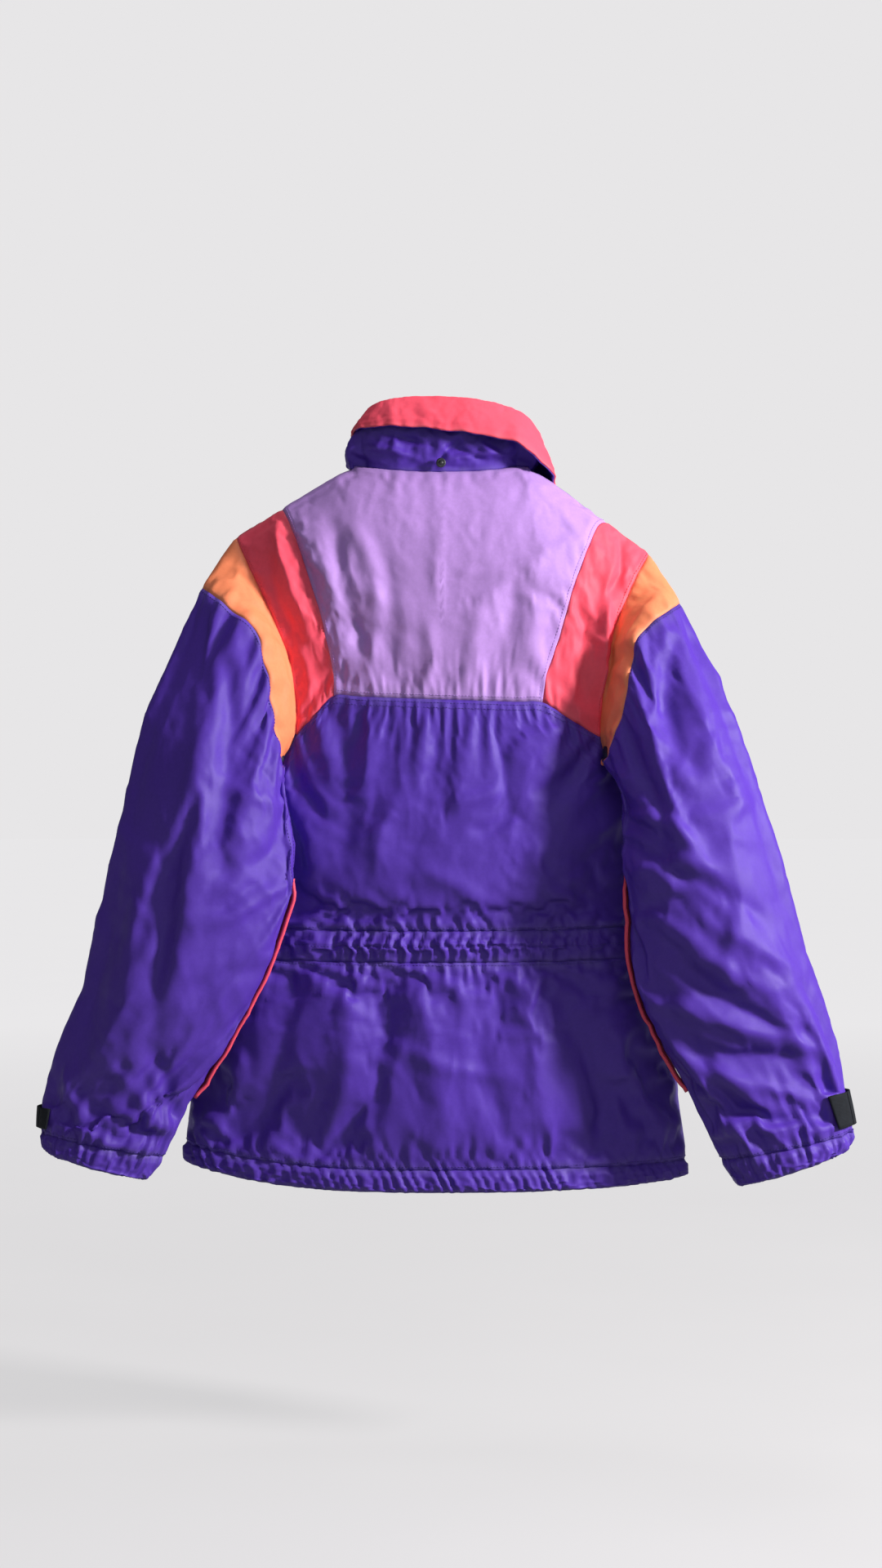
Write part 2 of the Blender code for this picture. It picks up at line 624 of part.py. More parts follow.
def make_zip_slider():
    """Slider in front of the chain, and the pull that hangs from it with its pivot at the slider's face."""
    low_y = FRONT_Y + 0.0002
    bottom, top = (-0.0050, low_y, SLIDER_TOP_Z - 0.012), (0.0050, low_y + 0.0030, SLIDER_TOP_Z)
    slab("zip_slider", bottom, top, "black_plastic")
    pull_low_y = low_y + 0.0036
    pull_half = 0.0009
    pivot = (0.0, pull_low_y + pull_half, SLIDER_TOP_Z - 0.006)
    slab("zip_pull", (-0.0030, pull_low_y, pivot[2] - 0.026),
         (0.0030, pull_low_y + 2 * pull_half, pivot[2] + pull_half), "black_plastic", pivot)


def make_storm_flap():
    """Flap over the zip, sewn along its left edge, with its studs on the right front."""
    y = FLAP_INNER_Y
    t = FLAP_THICKNESS
    outline = ((-0.040, FRONT_Y + 0.0024), (-0.026, y), (0.032, y),
               (0.032, y + t), (-0.028, y + t), (-0.044, FRONT_Y + 0.0036))
    hinge = (-0.042, FRONT_Y + 0.0030, 0.0)
    profiles = [[np.array([x, y_, z]) for x, y_ in outline] for z in (FLAP_BOTTOM_Z, FLAP_TOP_Z)]
    strip("storm_flap", profiles, "purple", hinge)
    for i, z in enumerate(SNAP_HEIGHTS, start=1):
        cap_y = y + t + SEAM_GAP + 0.0012
        disc(f"flap_snap_cap_{i}", (SNAP_X, cap_y, z), 0.0065, -0.0024, 12, "black_plastic")
        stud_low, stud_high = FRONT_Y + 0.0004, y - SEAM_GAP
        middle = (SNAP_X, (stud_low + stud_high) / 2, z)
        disc(f"flap_snap_stud_{i}", middle, 0.0050, stud_low - stud_high, 12, "black_plastic")


def make_pocket_zip(name, side):
    """Straight welted zip on the front, and the slider on it."""
    ends = []
    for x, z in (POCKET_TOP, POCKET_BOTTOM):
        y = depth(x, z, side, FRONT_Y, FRONT_ROUND)
        ends.append(np.array([side["sign"] * x, y, z]))
    x, z = POCKET_TOP
    slope = depth(x + 0.001, z, side, FRONT_Y, FRONT_ROUND) - depth(x - 0.001, z, side, FRONT_Y, FRONT_ROUND)
    out = np.array([-side["sign"] * slope / 0.002, 1.0, 0.0])
    out /= np.linalg.norm(out)
    along = ends[1] - ends[0]
    along /= np.linalg.norm(along)
    across = np.cross(along, out)
    across /= np.linalg.norm(across)
    half, low, high = 0.007, 0.0012, 0.0030
    outline = ((-half, low), (half, low), (half, high), (-half, high))
    profiles = [[e + across * a + out * o for a, o in outline] for e in ends]
    sweep("pocket_zip_" + name, profiles, "zip_tape")
    start = ends[0] + along * 0.004
    half, low, high = 0.0040, 0.0033, 0.0062
    outline = ((-half, low), (half, low), (half * 0.7, high), (-half * 0.7, high))
    profiles = [[e + across * a + out * o for a, o in outline] for e in (start, start + along * 0.014)]
    sweep("pocket_slider_" + name, profiles, "black_plastic", start)


def main():
    for old in list(bpy.data.objects):
        bpy.data.objects.remove(old)
    surfaces = torso_surfaces()
    make_back(surfaces["back"])
    for name, side in SIDES.items():
        make_front(name, surfaces["front_" + name])
        make_sleeve(name, side, surfaces["sleeve_" + name])
        make_pocket_zip(name, side)
    make_collar(surfaces)
    make_hanger_loop(surfaces)
    make_zip()
    make_zip_slider()
    make_storm_flap()


main()
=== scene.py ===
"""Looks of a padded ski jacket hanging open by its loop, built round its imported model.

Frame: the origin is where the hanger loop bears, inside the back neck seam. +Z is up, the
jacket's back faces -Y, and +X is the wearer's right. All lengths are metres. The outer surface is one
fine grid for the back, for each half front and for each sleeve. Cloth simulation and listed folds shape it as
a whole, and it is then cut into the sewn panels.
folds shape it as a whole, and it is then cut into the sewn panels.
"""

import json
import math

import bpy
import numpy as np
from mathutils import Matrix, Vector, noise


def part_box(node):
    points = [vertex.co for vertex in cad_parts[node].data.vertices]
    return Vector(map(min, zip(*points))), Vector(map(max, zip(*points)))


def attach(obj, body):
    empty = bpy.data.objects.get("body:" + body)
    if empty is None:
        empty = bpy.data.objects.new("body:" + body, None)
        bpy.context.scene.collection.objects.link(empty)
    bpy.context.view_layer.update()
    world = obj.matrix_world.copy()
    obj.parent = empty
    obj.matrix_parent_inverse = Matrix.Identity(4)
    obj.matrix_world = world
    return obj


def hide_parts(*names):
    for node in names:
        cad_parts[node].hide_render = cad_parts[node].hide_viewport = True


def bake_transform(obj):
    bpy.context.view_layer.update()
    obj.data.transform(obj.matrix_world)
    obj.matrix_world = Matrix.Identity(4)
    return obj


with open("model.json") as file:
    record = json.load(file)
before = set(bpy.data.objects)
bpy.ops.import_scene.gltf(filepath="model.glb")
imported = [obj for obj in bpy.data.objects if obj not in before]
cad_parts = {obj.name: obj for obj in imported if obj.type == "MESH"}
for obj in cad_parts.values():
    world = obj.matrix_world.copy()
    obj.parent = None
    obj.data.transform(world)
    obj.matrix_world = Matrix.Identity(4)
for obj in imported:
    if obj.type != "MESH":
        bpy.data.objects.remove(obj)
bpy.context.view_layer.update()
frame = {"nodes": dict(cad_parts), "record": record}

# Driving dimensions
RIDGE_Y = 0.009  # depth of the shoulder seams
SIDE_Y = 0.016  # depth of the side seams
BACK_Y = -0.056  # middle of the back
FRONT_Y = 0.089  # middle of the front, where the zip runs
BACK_ROUND = 0.120  # height over which the back rolls into the shoulder seam
FRONT_ROUND = 0.085
UNDERARM_Z = -0.320
UNDERARM_HALF_WIDTH = 0.200
UPPER_WIDTH_GAIN = 0.22  # widening of the section for each metre above the underarm
ZIP_HALF_GAP = 0.010  # each front panel stops this far from the middle
NECK_CORNER = (0.094, 0.010)
SLEEVE_TO_BACK = 0.010  # air between a hanging sleeve and the back it lies on
FREE_ABOVE = 0.290  # the sleeve comes out of the back above this distance down from the origin

# Depths below the outer surface at which each layer starts and ends
SHELL = (0.0, 0.0012)
ELASTIC = (0.0022, 0.0030)
PADDING = (0.0044, 0.0078)
INSIDE = (0.0082, 0.0092)
PANEL_GAP = 0.00002  # each panel stops this far from its seam

# Rows of the panel grid, counted down from the shoulder and neck line
YOKE_ROW = 4
UNDERARM_ROW = 6
CASING_ROWS = (8, 9)
HEM_ROWS = (12, 13)
# Columns counted from the side or armhole to the middle
CORAL_COLUMN = 2
NECK_COLUMN = 4
MIDDLE_COLUMN = 6
BACK_COLUMNS = 2 * MIDDLE_COLUMN
WIDTH_FRACTIONS = (1.0, 0.88, 0.68, 0.46, 0.31, 0.155, 0.0)

# Outlines, each point (distance from the middle, height)
SIDES = {
    "left": {
        "sign": -1,
        "tip": (0.214, -0.064),
        "coral_top": (0.166, -0.027),
        "armhole": ((0.196, -0.101), (0.170, -0.155), (0.152, -0.205), (0.149, -0.271), (0.172, -0.305)),
        "coral_bottom": (0.110, -0.231),
        "hem_half_width": 0.270,
        "hem_side_z": -0.712,
        "hem_seam_side_z": -0.693,
        # outer edge, inner edge, middle depth, half depth
        "sleeve": (
            ((0.246, -0.119), (0.161, -0.305), -0.038, 0.040),
            ((0.280, -0.200), (0.158, -0.320), -0.056, 0.044),
            ((0.303, -0.263), (0.154, -0.340), -0.066, 0.046),
            ((0.323, -0.354), (0.148, -0.388), -0.076, 0.046),
            ((0.341, -0.432), (0.154, -0.440), -0.080, 0.046),
            ((0.361, -0.520), (0.176, -0.505), -0.080, 0.045),
            ((0.384, -0.577), (0.210, -0.570), -0.077, 0.042),
            ((0.401, -0.635), (0.246, -0.628), -0.073, 0.038),
            ((0.404, -0.672), (0.280, -0.697), -0.070, 0.034),
            ((0.398, -0.692), (0.297, -0.720), -0.070, 0.034),
        ),
        # seen from the back: from the sleeve's outer edge to the armhole's lowest point
        "cap_seam": ((0.246, -0.119), (0.226, -0.133), (0.208, -0.148), (0.188, -0.164), (0.180, -0.190),
                     (0.173, -0.222), (0.167, -0.262), (0.161, -0.305)),
    },
    "right": {
        "sign": 1,
        "tip": (0.217, -0.081),
        "coral_top": (0.173, -0.031),
        "armhole": ((0.199, -0.112), (0.180, -0.158), (0.171, -0.205), (0.163, -0.273), (0.180, -0.306)),
        "coral_bottom": (0.104, -0.238),
        "hem_half_width": 0.257,
        "hem_side_z": -0.728,
        "hem_seam_side_z": -0.711,
        "sleeve": (
            ((0.246, -0.135), (0.164, -0.300), -0.038, 0.040),
            ((0.282, -0.213), (0.176, -0.318), -0.056, 0.044),
            ((0.305, -0.271), (0.184, -0.343), -0.066, 0.046),
            ((0.325, -0.338), (0.182, -0.383), -0.076, 0.046),
            ((0.349, -0.418), (0.190, -0.438), -0.080, 0.046),
            ((0.373, -0.504), (0.192, -0.500), -0.080, 0.045),
            ((0.392, -0.554), (0.212, -0.560), -0.077, 0.042),
            ((0.405, -0.615), (0.244, -0.622), -0.073, 0.038),
            ((0.416, -0.672), (0.283, -0.700), -0.070, 0.034),
            ((0.408, -0.691), (0.299, -0.727), -0.070, 0.034),
        ),
        "cap_seam": ((0.246, -0.135), (0.226, -0.148), (0.209, -0.161), (0.196, -0.180), (0.191, -0.205),
                     (0.186, -0.235), (0.176, -0.268), (0.164, -0.300)),
    },
}
# Heights in the middle of the back at each grid row, from the neck to the hem edge
MIDDLE_HEIGHTS = (0.0, -0.060, -0.120, -0.180, -0.235, -0.295, -0.350, -0.412, -0.471, -0.503,
                  -0.575, -0.645, -0.714, -0.737)
SIDE_HEIGHTS = {6: UNDERARM_Z, 7: -0.395, 8: -0.466, 9: -0.498, 10: -0.565, 11: -0.630}
FRONT_NECK = ((0.062, -0.048), (ZIP_HALF_GAP, -0.075))
SLEEVE_CAP_RINGS = (0, 1)
SLEEVE_RINGS = (1, 9)
CUFF_RINGS = (9, 10)
RING_POINTS = 12

NECK_SIDE = (0.048, 0.0045)  # a point of the back's neck seam
NECK_LIFT = 0.0025  # the middle of the back's neck seam lies this far above the origin
CAP_MIDDLE_Y = (-0.0215, -0.050)  # middle depth of the cap's lower edge, outside and inside
CAP_HALF_DEPTH = 0.036
SHOULDER_SOFTNESS = 0.008  # rounding of the shoulder line where it meets the neck
FINE = 16  # steps of the finest grid in each cell of the panel grid
SIM_STEP = 2  # the cloth simulation uses every second line of the finest grid

WRAPPED = {
    "back": False,
    "front_left": False,
    "front_right": False,
    "sleeve_left": True,
    "sleeve_right": True,
}
FLIPPED = {
    "back": False,
    "front_left": True,
    "front_right": False,
    "sleeve_left": False,
    "sleeve_right": True,
}


# The outer surface, as the model has it


def half_width(z, side):
    """Half the torso's width at a height."""
    if z > UNDERARM_Z:
        return UNDERARM_HALF_WIDTH + UPPER_WIDTH_GAIN * (z - UNDERARM_Z)
    share = min((UNDERARM_Z - z) / (UNDERARM_Z - side["hem_side_z"]), 1.0) ** 0.7
    return UNDERARM_HALF_WIDTH + share * (side["hem_half_width"] - UNDERARM_HALF_WIDTH)


def shoulder_height(x, side):
    """Height of the shoulder seam at a distance from the middle."""
    (neck_x, neck_z), (tip_x, tip_z) = NECK_CORNER, side["tip"]
    past = SHOULDER_SOFTNESS * np.logaddexp(0.0, (x - neck_x) / SHOULDER_SOFTNESS)  # softened corner
    share = np.clip(past / (tip_x - neck_x), 0.0, 1.0)
    return neck_z + share * (tip_z - neck_z)


def depth(x, z, side, middle_y, roll):
    """Y of the torso's surface: a lens section that rolls into the shoulder seam."""
    across = min(x / half_width(z, side), 1.0)
    lens = SIDE_Y + (middle_y - SIDE_Y) * math.sqrt(1.0 - across**2)
    drop = np.clip((shoulder_height(x, side) - z) / roll, 0.0, 1.0)
    return RIDGE_Y + (lens - RIDGE_Y) * math.sqrt(1.0 - (1.0 - drop) ** 2)


def between(a, b, share):
    return np.asarray(a) + share * (np.asarray(b) - np.asarray(a))


def yoke_rows(side, neck, middle_x, heights):
    """Outline points (x, z) of the yoke's rows, from the shoulder line to the yoke seam."""
    top = [side["tip"], between(side["tip"], side["coral_top"], 0.5), side["coral_top"]]
    top += [between(side["coral_top"], NECK_CORNER, 0.5), NECK_CORNER, *neck]
    middle = (middle_x, heights[YOKE_ROW])
    bottom = [side["armhole"][3], between(side["armhole"][3], side["coral_bottom"], 0.5)]
    bottom += [between(side["coral_bottom"], middle, share) for share in (0.0, 0.25, 0.5, 0.75, 1.0)]
    rows = [top]
    for row in range(1, YOKE_ROW):
        edge = side["armhole"][row - 1]
        share = (side["tip"][1] - edge[1]) / (side["tip"][1] - side["armhole"][3][1])
        bulge = np.asarray(edge) - between(top[0], bottom[0], share)
        line = []
        for column in range(MIDDLE_COLUMN + 1):
            fade = max(0.0, 1.0 - column / NECK_COLUMN)
            line.append(between(top[column], bottom[column], share) + fade * bulge)
        rows.append(line)
    return rows + [bottom]


def lower_rows(side, middle_x, heights):
    """Outline points (x, z) of the rows below the yoke seam."""
    sides = dict(SIDE_HEIGHTS)
    sides[HEM_ROWS[0]] = side["hem_seam_side_z"]
    sides[HEM_ROWS[1]] = side["hem_side_z"]
    rows = []
    under = [(0.152, -0.308), (0.128, -0.300), (0.098, -0.296), (0.066, -0.295), (0.033, -0.295)]
    rows.append([side["armhole"][4], *under, (0.0, heights[YOKE_ROW + 1])])
    for row in range(UNDERARM_ROW, HEM_ROWS[1] + 1):
        width = half_width(sides[row], side)
        line = []
        for fraction in WIDTH_FRACTIONS:
            z = heights[row] + (sides[row] - heights[row]) * fraction**3
            line.append((fraction * width, z))
        rows.append(line)
    return [[(max(x, middle_x), z) for x, z in line] for line in rows]


def spline(points, steps, wrapped=False):
    """A finer row of points on a smooth curve through the given ones, along the first axis."""
    points = np.asarray(points, float)
    count = len(points)
    spans = count if wrapped else count - 1
    if wrapped:
        padded = np.concatenate([points[-1:], points, points[:2]])
    else:
        first, last = 2 * points[0] - points[1], 2 * points[-1] - points[-2]
        padded = np.concatenate([first[None], points, last[None]])
    t = np.arange(steps) / steps
    shape = (1, steps) + (1,) * (points.ndim - 1)
    t = t.reshape(shape)
    p0, p1, p2, p3 = (padded[i : i + spans][:, None] for i in range(4))
    curve = p1 + 0.5 * t * (p2 - p0 + t * (2 * p0 - 5 * p1 + 4 * p2 - p3 + t * (3 * (p1 - p2) + p3 - p0)))
    curve = curve.reshape((spans * steps,) + points.shape[1:])
    return curve if wrapped else np.concatenate([curve, points[-1:]])


def across(grid, steps, wrapped=False):
    """The same along the second axis."""
    return np.swapaxes(spline(np.swapaxes(grid, 0, 1), steps, wrapped), 0, 1)


def straighten_shoulder(flat, side):
    """Puts the top line on the straight shoulder seam, which the back and the front share."""
    seam = slice(0, NECK_COLUMN * FINE + 1)
    x = flat[0, seam, 0]
    even = [np.linspace(a, b, FINE, endpoint=False) for a, b in zip(x[:-1:FINE], x[FINE::FINE])]
    x = np.append(np.concatenate(even), x[-1])
    target = np.stack([x, [shoulder_height(v, side) for v in x]], axis=-1)
    change = target - flat[0, seam]
    for row in range(FINE):
        flat[row, seam] += change * (1.0 - row / FINE) ** 2


def fine_half(side, front):
    """Half the back or half the front as a fine grid of points, rows by columns, side to middle."""
    heights = MIDDLE_HEIGHTS
    neck = [NECK_SIDE, (0.0, heights[0] + NECK_LIFT)]
    middle_x, middle_y, roll = 0.0, BACK_Y, BACK_ROUND
    if front:
        neck, middle_x, middle_y, roll = FRONT_NECK, ZIP_HALF_GAP, FRONT_Y, FRONT_ROUND
    rows = yoke_rows(side, neck, middle_x, heights) + lower_rows(side, middle_x, heights)
    flat = across(spline(np.array(rows), FINE), FINE)
    straighten_shoulder(flat, side)
    upper = np.arange(len(flat)) <= UNDERARM_ROW * FINE
    points = np.zeros(flat.shape[:2] + (3,))
    for (r, c), _ in np.ndenumerate(flat[..., 0]):
        x, z = flat[r, c]
        if not upper[r]:
            x = min(x, half_width(z, side))
        points[r, c] = (side["sign"] * x, depth(x, z, side, middle_y, roll), z)
    return points


def sleeve_ring(side, outer, inner, middle_y, half_depth, angles):
    """Points of one sleeve section. They stay clear of the back that the sleeve hangs against."""
    ring = []
    for angle in angles:
        x, z = between(outer, inner, (1.0 - math.cos(angle)) / 2)
        y = middle_y - half_depth * math.sin(angle)
        if x < half_width(z, side):
            free = 3.0 * max(0.0, z + FREE_ABOVE)
            furthest = depth(x, z, side, BACK_Y, BACK_ROUND) - SLEEVE_TO_BACK + free
            y = min(y, furthest - 0.6 * half_depth * max(0.0, math.sin(angle)))
        ring.append((side["sign"] * x, y, z))
    return ring


def cap_ring(side, angles):
    """The ring where cap and sleeve meet. Its back half follows the seam, its front half runs straight."""
    seam = spline(np.array(side["cap_seam"]), 12)
    shares = (1.0 - np.cos(angles)) / 2
    length = np.concatenate([[0.0], np.cumsum(np.linalg.norm(np.diff(seam, axis=0), axis=1))])
    straight = np.array([between(seam[0], seam[-1], s) for s in shares])
    along = np.stack([np.interp(shares * length[-1], length, seam[:, k]) for k in (0, 1)], axis=-1)
    back = smooth(np.sin(angles), -0.15, 0.15)[:, None]
    flat = straight + back * (along - straight)
    y = between(CAP_MIDDLE_Y[0], CAP_MIDDLE_Y[1], shares) - CAP_HALF_DEPTH * np.sin(angles)
    return np.stack([side["sign"] * flat[:, 0], y, flat[:, 1]], axis=-1)


def fine_sleeve(side, back, front):
    """Rings of points down the sleeve, from the armhole. Each starts at the sleeve's outer edge."""
    under = UNDERARM_ROW * FINE
    armhole = np.concatenate([back[: under + 1, 0], front[under - 1 : 0 : -1, 0]])
    angles = math.tau * np.arange(RING_POINTS * FINE) / (RING_POINTS * FINE)
    table = np.array([[*outer, *inner, y, half] for outer, inner, y, half in side["sleeve"]])
    rings = []
    for row in spline(table, FINE):
        rings.append(sleeve_ring(side, row[0:2], row[2:4], row[4], row[5], angles))
    rings = np.array(rings)
    correction = cap_ring(side, angles) - rings[0]
    for k in range(2 * FINE):
        rings[k] += correction * (1.0 - smooth(k / FINE, 0.0, 2.0))
    shoulder = spline(np.array([armhole, rings[0], rings[FINE]]), FINE)[:FINE]
    return np.concatenate([shoulder, rings])


def grid_faces(rows, columns, wrapped):
    """Index quads of a grid's faces."""
    r, c = np.meshgrid(np.arange(rows - 1), np.arange(columns if wrapped else columns - 1), indexing="ij")
    a = r * columns + c
    b = r * columns + (c + 1) % columns
    return np.stack([a, a + columns, b + columns, b], axis=-1).reshape(-1, 4)


def welded(grids):
    """All grids as one list of points, with an index grid into it for each, joined where they meet."""
    everything = np.concatenate([points.reshape(-1, 3) for points in grids.values()])
    _, first, index = np.unique(np.round(everything, 5), axis=0, return_index=True, return_inverse=True)
    index = index.reshape(-1)
    found, start = {}, 0
    for name, points in grids.items():
        size = points.shape[0] * points.shape[1]
        found[name] = index[start : start + size].reshape(points.shape[:2])
        start += size
    return everything[first], found


def outward_normals(points, indices):
    """A normal for each welded point."""
    total = np.zeros_like(points)
    for name, index in indices.items():
        quads = index.reshape(-1)[grid_faces(*index.shape, WRAPPED[name])]
        corners = points[quads]
        normal = np.cross(corners[:, 2] - corners[:, 0], corners[:, 3] - corners[:, 1])
        if FLIPPED[name]:
            normal = -normal
        for k in range(4):
            np.add.at(total, quads[:, k], normal)
    return total / np.maximum(np.linalg.norm(total, axis=1), 1e-12)[:, None]


def base_grids():
    """The outer surface without any fold: a grid for the back, each half front and each sleeve."""
    halves = {name: (fine_half(side, False), fine_half(side, True)) for name, side in SIDES.items()}
    whole_back = np.concatenate([halves["left"][0], halves["right"][0][:, -2::-1]], axis=1)
    found = {"back": whole_back}
    for name, side in SIDES.items():
        found["front_" + name] = halves[name][1]
        found["sleeve_" + name] = fine_sleeve(side, *halves[name])
    return found


# Folds, gathers and seams, as heights along the surface's normal


def smooth(value, low, high):
    """0 below low, 1 above high, and a soft step between."""
    t = np.clip((value - low) / (high - low), 0.0, 1.0)
    return t * t * (3.0 - 2.0 * t)


def wave(x, seed):
    """Smooth random wave of one variable, between -1 and 1, with a period of about one unit."""
    x = np.asarray(x, float)
    total = np.zeros_like(x)
    random = np.random.default_rng(seed)
    for _ in range(6):
        pitch = random.uniform(0.7, 1.5)
        total += np.sin(math.tau * (x * pitch + random.uniform()))
    return total / 3.2


# Each fold: start, end (x, z), half width, height. A negative height is a valley.
SLEEVE_FOLDS = {
    "left": (
        ((-0.232, -0.190), (-0.262, -0.470), 0.016, 0.0060),
        ((-0.262, -0.470), (-0.322, -0.640), 0.016, 0.0055),
        ((-0.212, -0.200), (-0.222, -0.420), 0.012, -0.0050),
        ((-0.250, -0.330), (-0.300, -0.600), 0.011, -0.0060),
        ((-0.292, -0.400), (-0.352, -0.630), 0.013, 0.0055),
        ((-0.275, -0.360), (-0.330, -0.560), 0.010, -0.0045),
        ((-0.322, -0.430), (-0.372, -0.600), 0.012, -0.0045),
        ((-0.162, -0.345), (-0.225, -0.305), 0.009, 0.0040),
        ((-0.156, -0.385), (-0.235, -0.400), 0.010, -0.0045),
        ((-0.160, -0.420), (-0.248, -0.455), 0.010, 0.0040),
        ((-0.180, -0.500), (-0.262, -0.520), 0.010, -0.0040),
        ((-0.270, -0.671), (-0.330, -0.600), 0.008, 0.0045),
        ((-0.275, -0.680), (-0.352, -0.640), 0.007, -0.0045),
        ((-0.283, -0.690), (-0.365, -0.668), 0.007, 0.0040),
        ((-0.262, -0.655), (-0.300, -0.570), 0.008, -0.0040),
        ((-0.384, -0.600), (-0.352, -0.680), 0.009, 0.0040),
        ((-0.330, -0.640), (-0.318, -0.700), 0.007, -0.0030),
    ),
    "right": (
        ((0.200, -0.345), (0.262, -0.372), 0.009, 0.0060),
        ((0.190, -0.372), (0.248, -0.410), 0.008, -0.0060),
        ((0.190, -0.402), (0.270, -0.392), 0.008, 0.0050),
        ((0.196, -0.440), (0.262, -0.425), 0.009, -0.0055),
        ((0.205, -0.300), (0.232, -0.385), 0.009, -0.0055),
        ((0.215, -0.265), (0.262, -0.322), 0.010, 0.0050),
        ((0.222, -0.225), (0.250, -0.300), 0.010, -0.0045),
        ((0.240, -0.350), (0.322, -0.330), 0.011, 0.0040),
        ((0.252, -0.400), (0.340, -0.460), 0.011, -0.0050),
        ((0.225, -0.455), (0.330, -0.520), 0.011, 0.0050),
        ((0.232, -0.492), (0.352, -0.560), 0.010, -0.0050),
        ((0.222, -0.535), (0.330, -0.560), 0.010, 0.0045),
        ((0.255, -0.440), (0.362, -0.505), 0.010, 0.0040),
        ((0.250, -0.580), (0.372, -0.592), 0.010, -0.0045),
        ((0.262, -0.600), (0.385, -0.640), 0.011, 0.0045),
        ((0.275, -0.640), (0.372, -0.668), 0.009, -0.0045),
        ((0.285, -0.668), (0.398, -0.660), 0.008, 0.0035),
        ((0.300, -0.430), (0.285, -0.530), 0.010, 0.0035),
        ((0.262, -0.180), (0.272, -0.320), 0.014, 0.0045),
        ((0.232, -0.175), (0.236, -0.260), 0.010, -0.0040),
    ),
}
BACK_FOLDS = (
    ((-0.135, -0.050), (-0.085, -0.215), 0.012, 0.0045),
    ((-0.112, -0.060), (-0.078, -0.200), 0.009, -0.0045),
    ((-0.085, -0.050), (-0.060, -0.150), 0.010, 0.0035),
    ((-0.060, -0.075), (-0.045, -0.225), 0.010, -0.0030),
    ((0.045, -0.130), (0.020, -0.225), 0.010, 0.0030),
    ((0.075, -0.110), (0.055, -0.225), 0.010, -0.0030),
    ((0.105, -0.060), (0.085, -0.220), 0.012, 0.0035),
    ((-0.010, -0.150), (-0.015, -0.230), 0.008, 0.0025),
    ((-0.172, -0.050), (-0.130, -0.190), 0.007, 0.0050),
    ((-0.160, -0.045), (-0.122, -0.150), 0.005, -0.0040),
    ((-0.185, -0.075), (-0.150, -0.175), 0.007, -0.0040),
    ((-0.145, -0.170), (-0.128, -0.262), 0.007, 0.0040),
    ((-0.112, -0.205), (-0.140, -0.255), 0.006, -0.0035),
    ((0.195, -0.060), (0.172, -0.135), 0.006, -0.0060),
    ((0.172, -0.135), (0.170, -0.255), 0.007, 0.0070),
    ((0.180, -0.090), (0.158, -0.215), 0.006, 0.0045),
    ((0.142, -0.130), (0.150, -0.240), 0.008, -0.0040),
    ((-0.090, -0.255), (-0.102, -0.400), 0.014, -0.0040),
    ((-0.045, -0.330), (-0.068, -0.415), 0.010, 0.0035),
    ((0.010, -0.345), (0.062, -0.315), 0.009, 0.0045),
    ((0.030, -0.365), (0.075, -0.350), 0.007, -0.0035),
    ((-0.020, -0.400), (0.042, -0.440), 0.010, 0.0035),
    ((0.060, -0.290), (0.130, -0.262), 0.010, 0.0035),
    ((0.095, -0.330), (0.150, -0.290), 0.009, -0.0035),
    ((-0.130, -0.320), (-0.128, -0.440), 0.012, 0.0035),
    ((0.085, -0.380), (0.120, -0.440), 0.010, 0.0030),
    ((-0.085, -0.515), (-0.115, -0.690), 0.014, 0.0050),
    ((-0.062, -0.515), (-0.060, -0.690), 0.012, -0.0045),
    ((-0.020, -0.515), (0.000, -0.690), 0.014, 0.0040),
    ((0.028, -0.515), (0.062, -0.690), 0.012, -0.0040),
    ((0.078, -0.515), (0.112, -0.680), 0.014, 0.0045),
    ((0.122, -0.530), (0.170, -0.690), 0.013, -0.0045),
    ((-0.150, -0.525), (-0.190, -0.690), 0.014, -0.0040),
    ((0.175, -0.560), (0.225, -0.690), 0.014, 0.0040),
    ((-0.205, -0.600), (-0.232, -0.690), 0.012, 0.0035),
    ((-0.040, -0.590), (0.070, -0.625), 0.009, 0.0025),
)


# Where short creases lie: how many, the box (x from, to, z from, to), direction and spread in radians, height
CREASES = (
    (80, (-0.16, 0.17, -0.46, -0.25), (0.4, 0.9), 0.0017),
    (64, (-0.26, 0.25, -0.69, -0.52), (1.4, 0.6), 0.0015),
    (34, (-0.15, 0.14, -0.22, -0.02), (1.3, 0.5), 0.0012),
    (70, (-0.39, -0.16, -0.66, -0.20), (1.9, 0.5), 0.0018),
    (110, (0.18, 0.40, -0.68, -0.18), (-0.6, 0.7), 0.0022),
)


def folds(points, strokes):
    """Soft ridges and valleys along straight strokes, seen from the back, fading at both ends."""
    height = np.zeros(points.shape[:-1])
    x, z = points[..., 0], points[..., 2]
    for (x1, z1), (x2, z2), width, tall in strokes:
        length = math.hypot(x2 - x1, z2 - z1)
        ux, uz = (x2 - x1) / length, (z2 - z1) / length
        along = ((x - x1) * ux + (z - z1) * uz) / length
        off = (x - x1) * uz - (z - z1) * ux
        off = off + 0.35 * width * np.sin(along * 5.0 + x1 * 90.0)
        fade = smooth(along, -0.15, 0.25) * (1.0 - smooth(along, 0.7, 1.15))
        height += tall * np.exp(-((off / width) ** 2)) * fade
    return height


def gathers(x, pitch, seed):
    """Sharp-backed ripples of a gathered seam, between about -1 and 1."""
    base = wave(x / pitch, seed)
    return base * (0.75 + 0.25 * wave(x / pitch / 3.1, seed + 1))


def near(value, at, reach):
    """1 at a value, falling away on both sides."""
    return np.exp(-(((value - at) / reach) ** 2))


def band(value, low, high, soft):
    """1 between low and high, with soft ends outside them."""
    return smooth(value, low - soft, low) * (1.0 - smooth(value, high, high + soft))


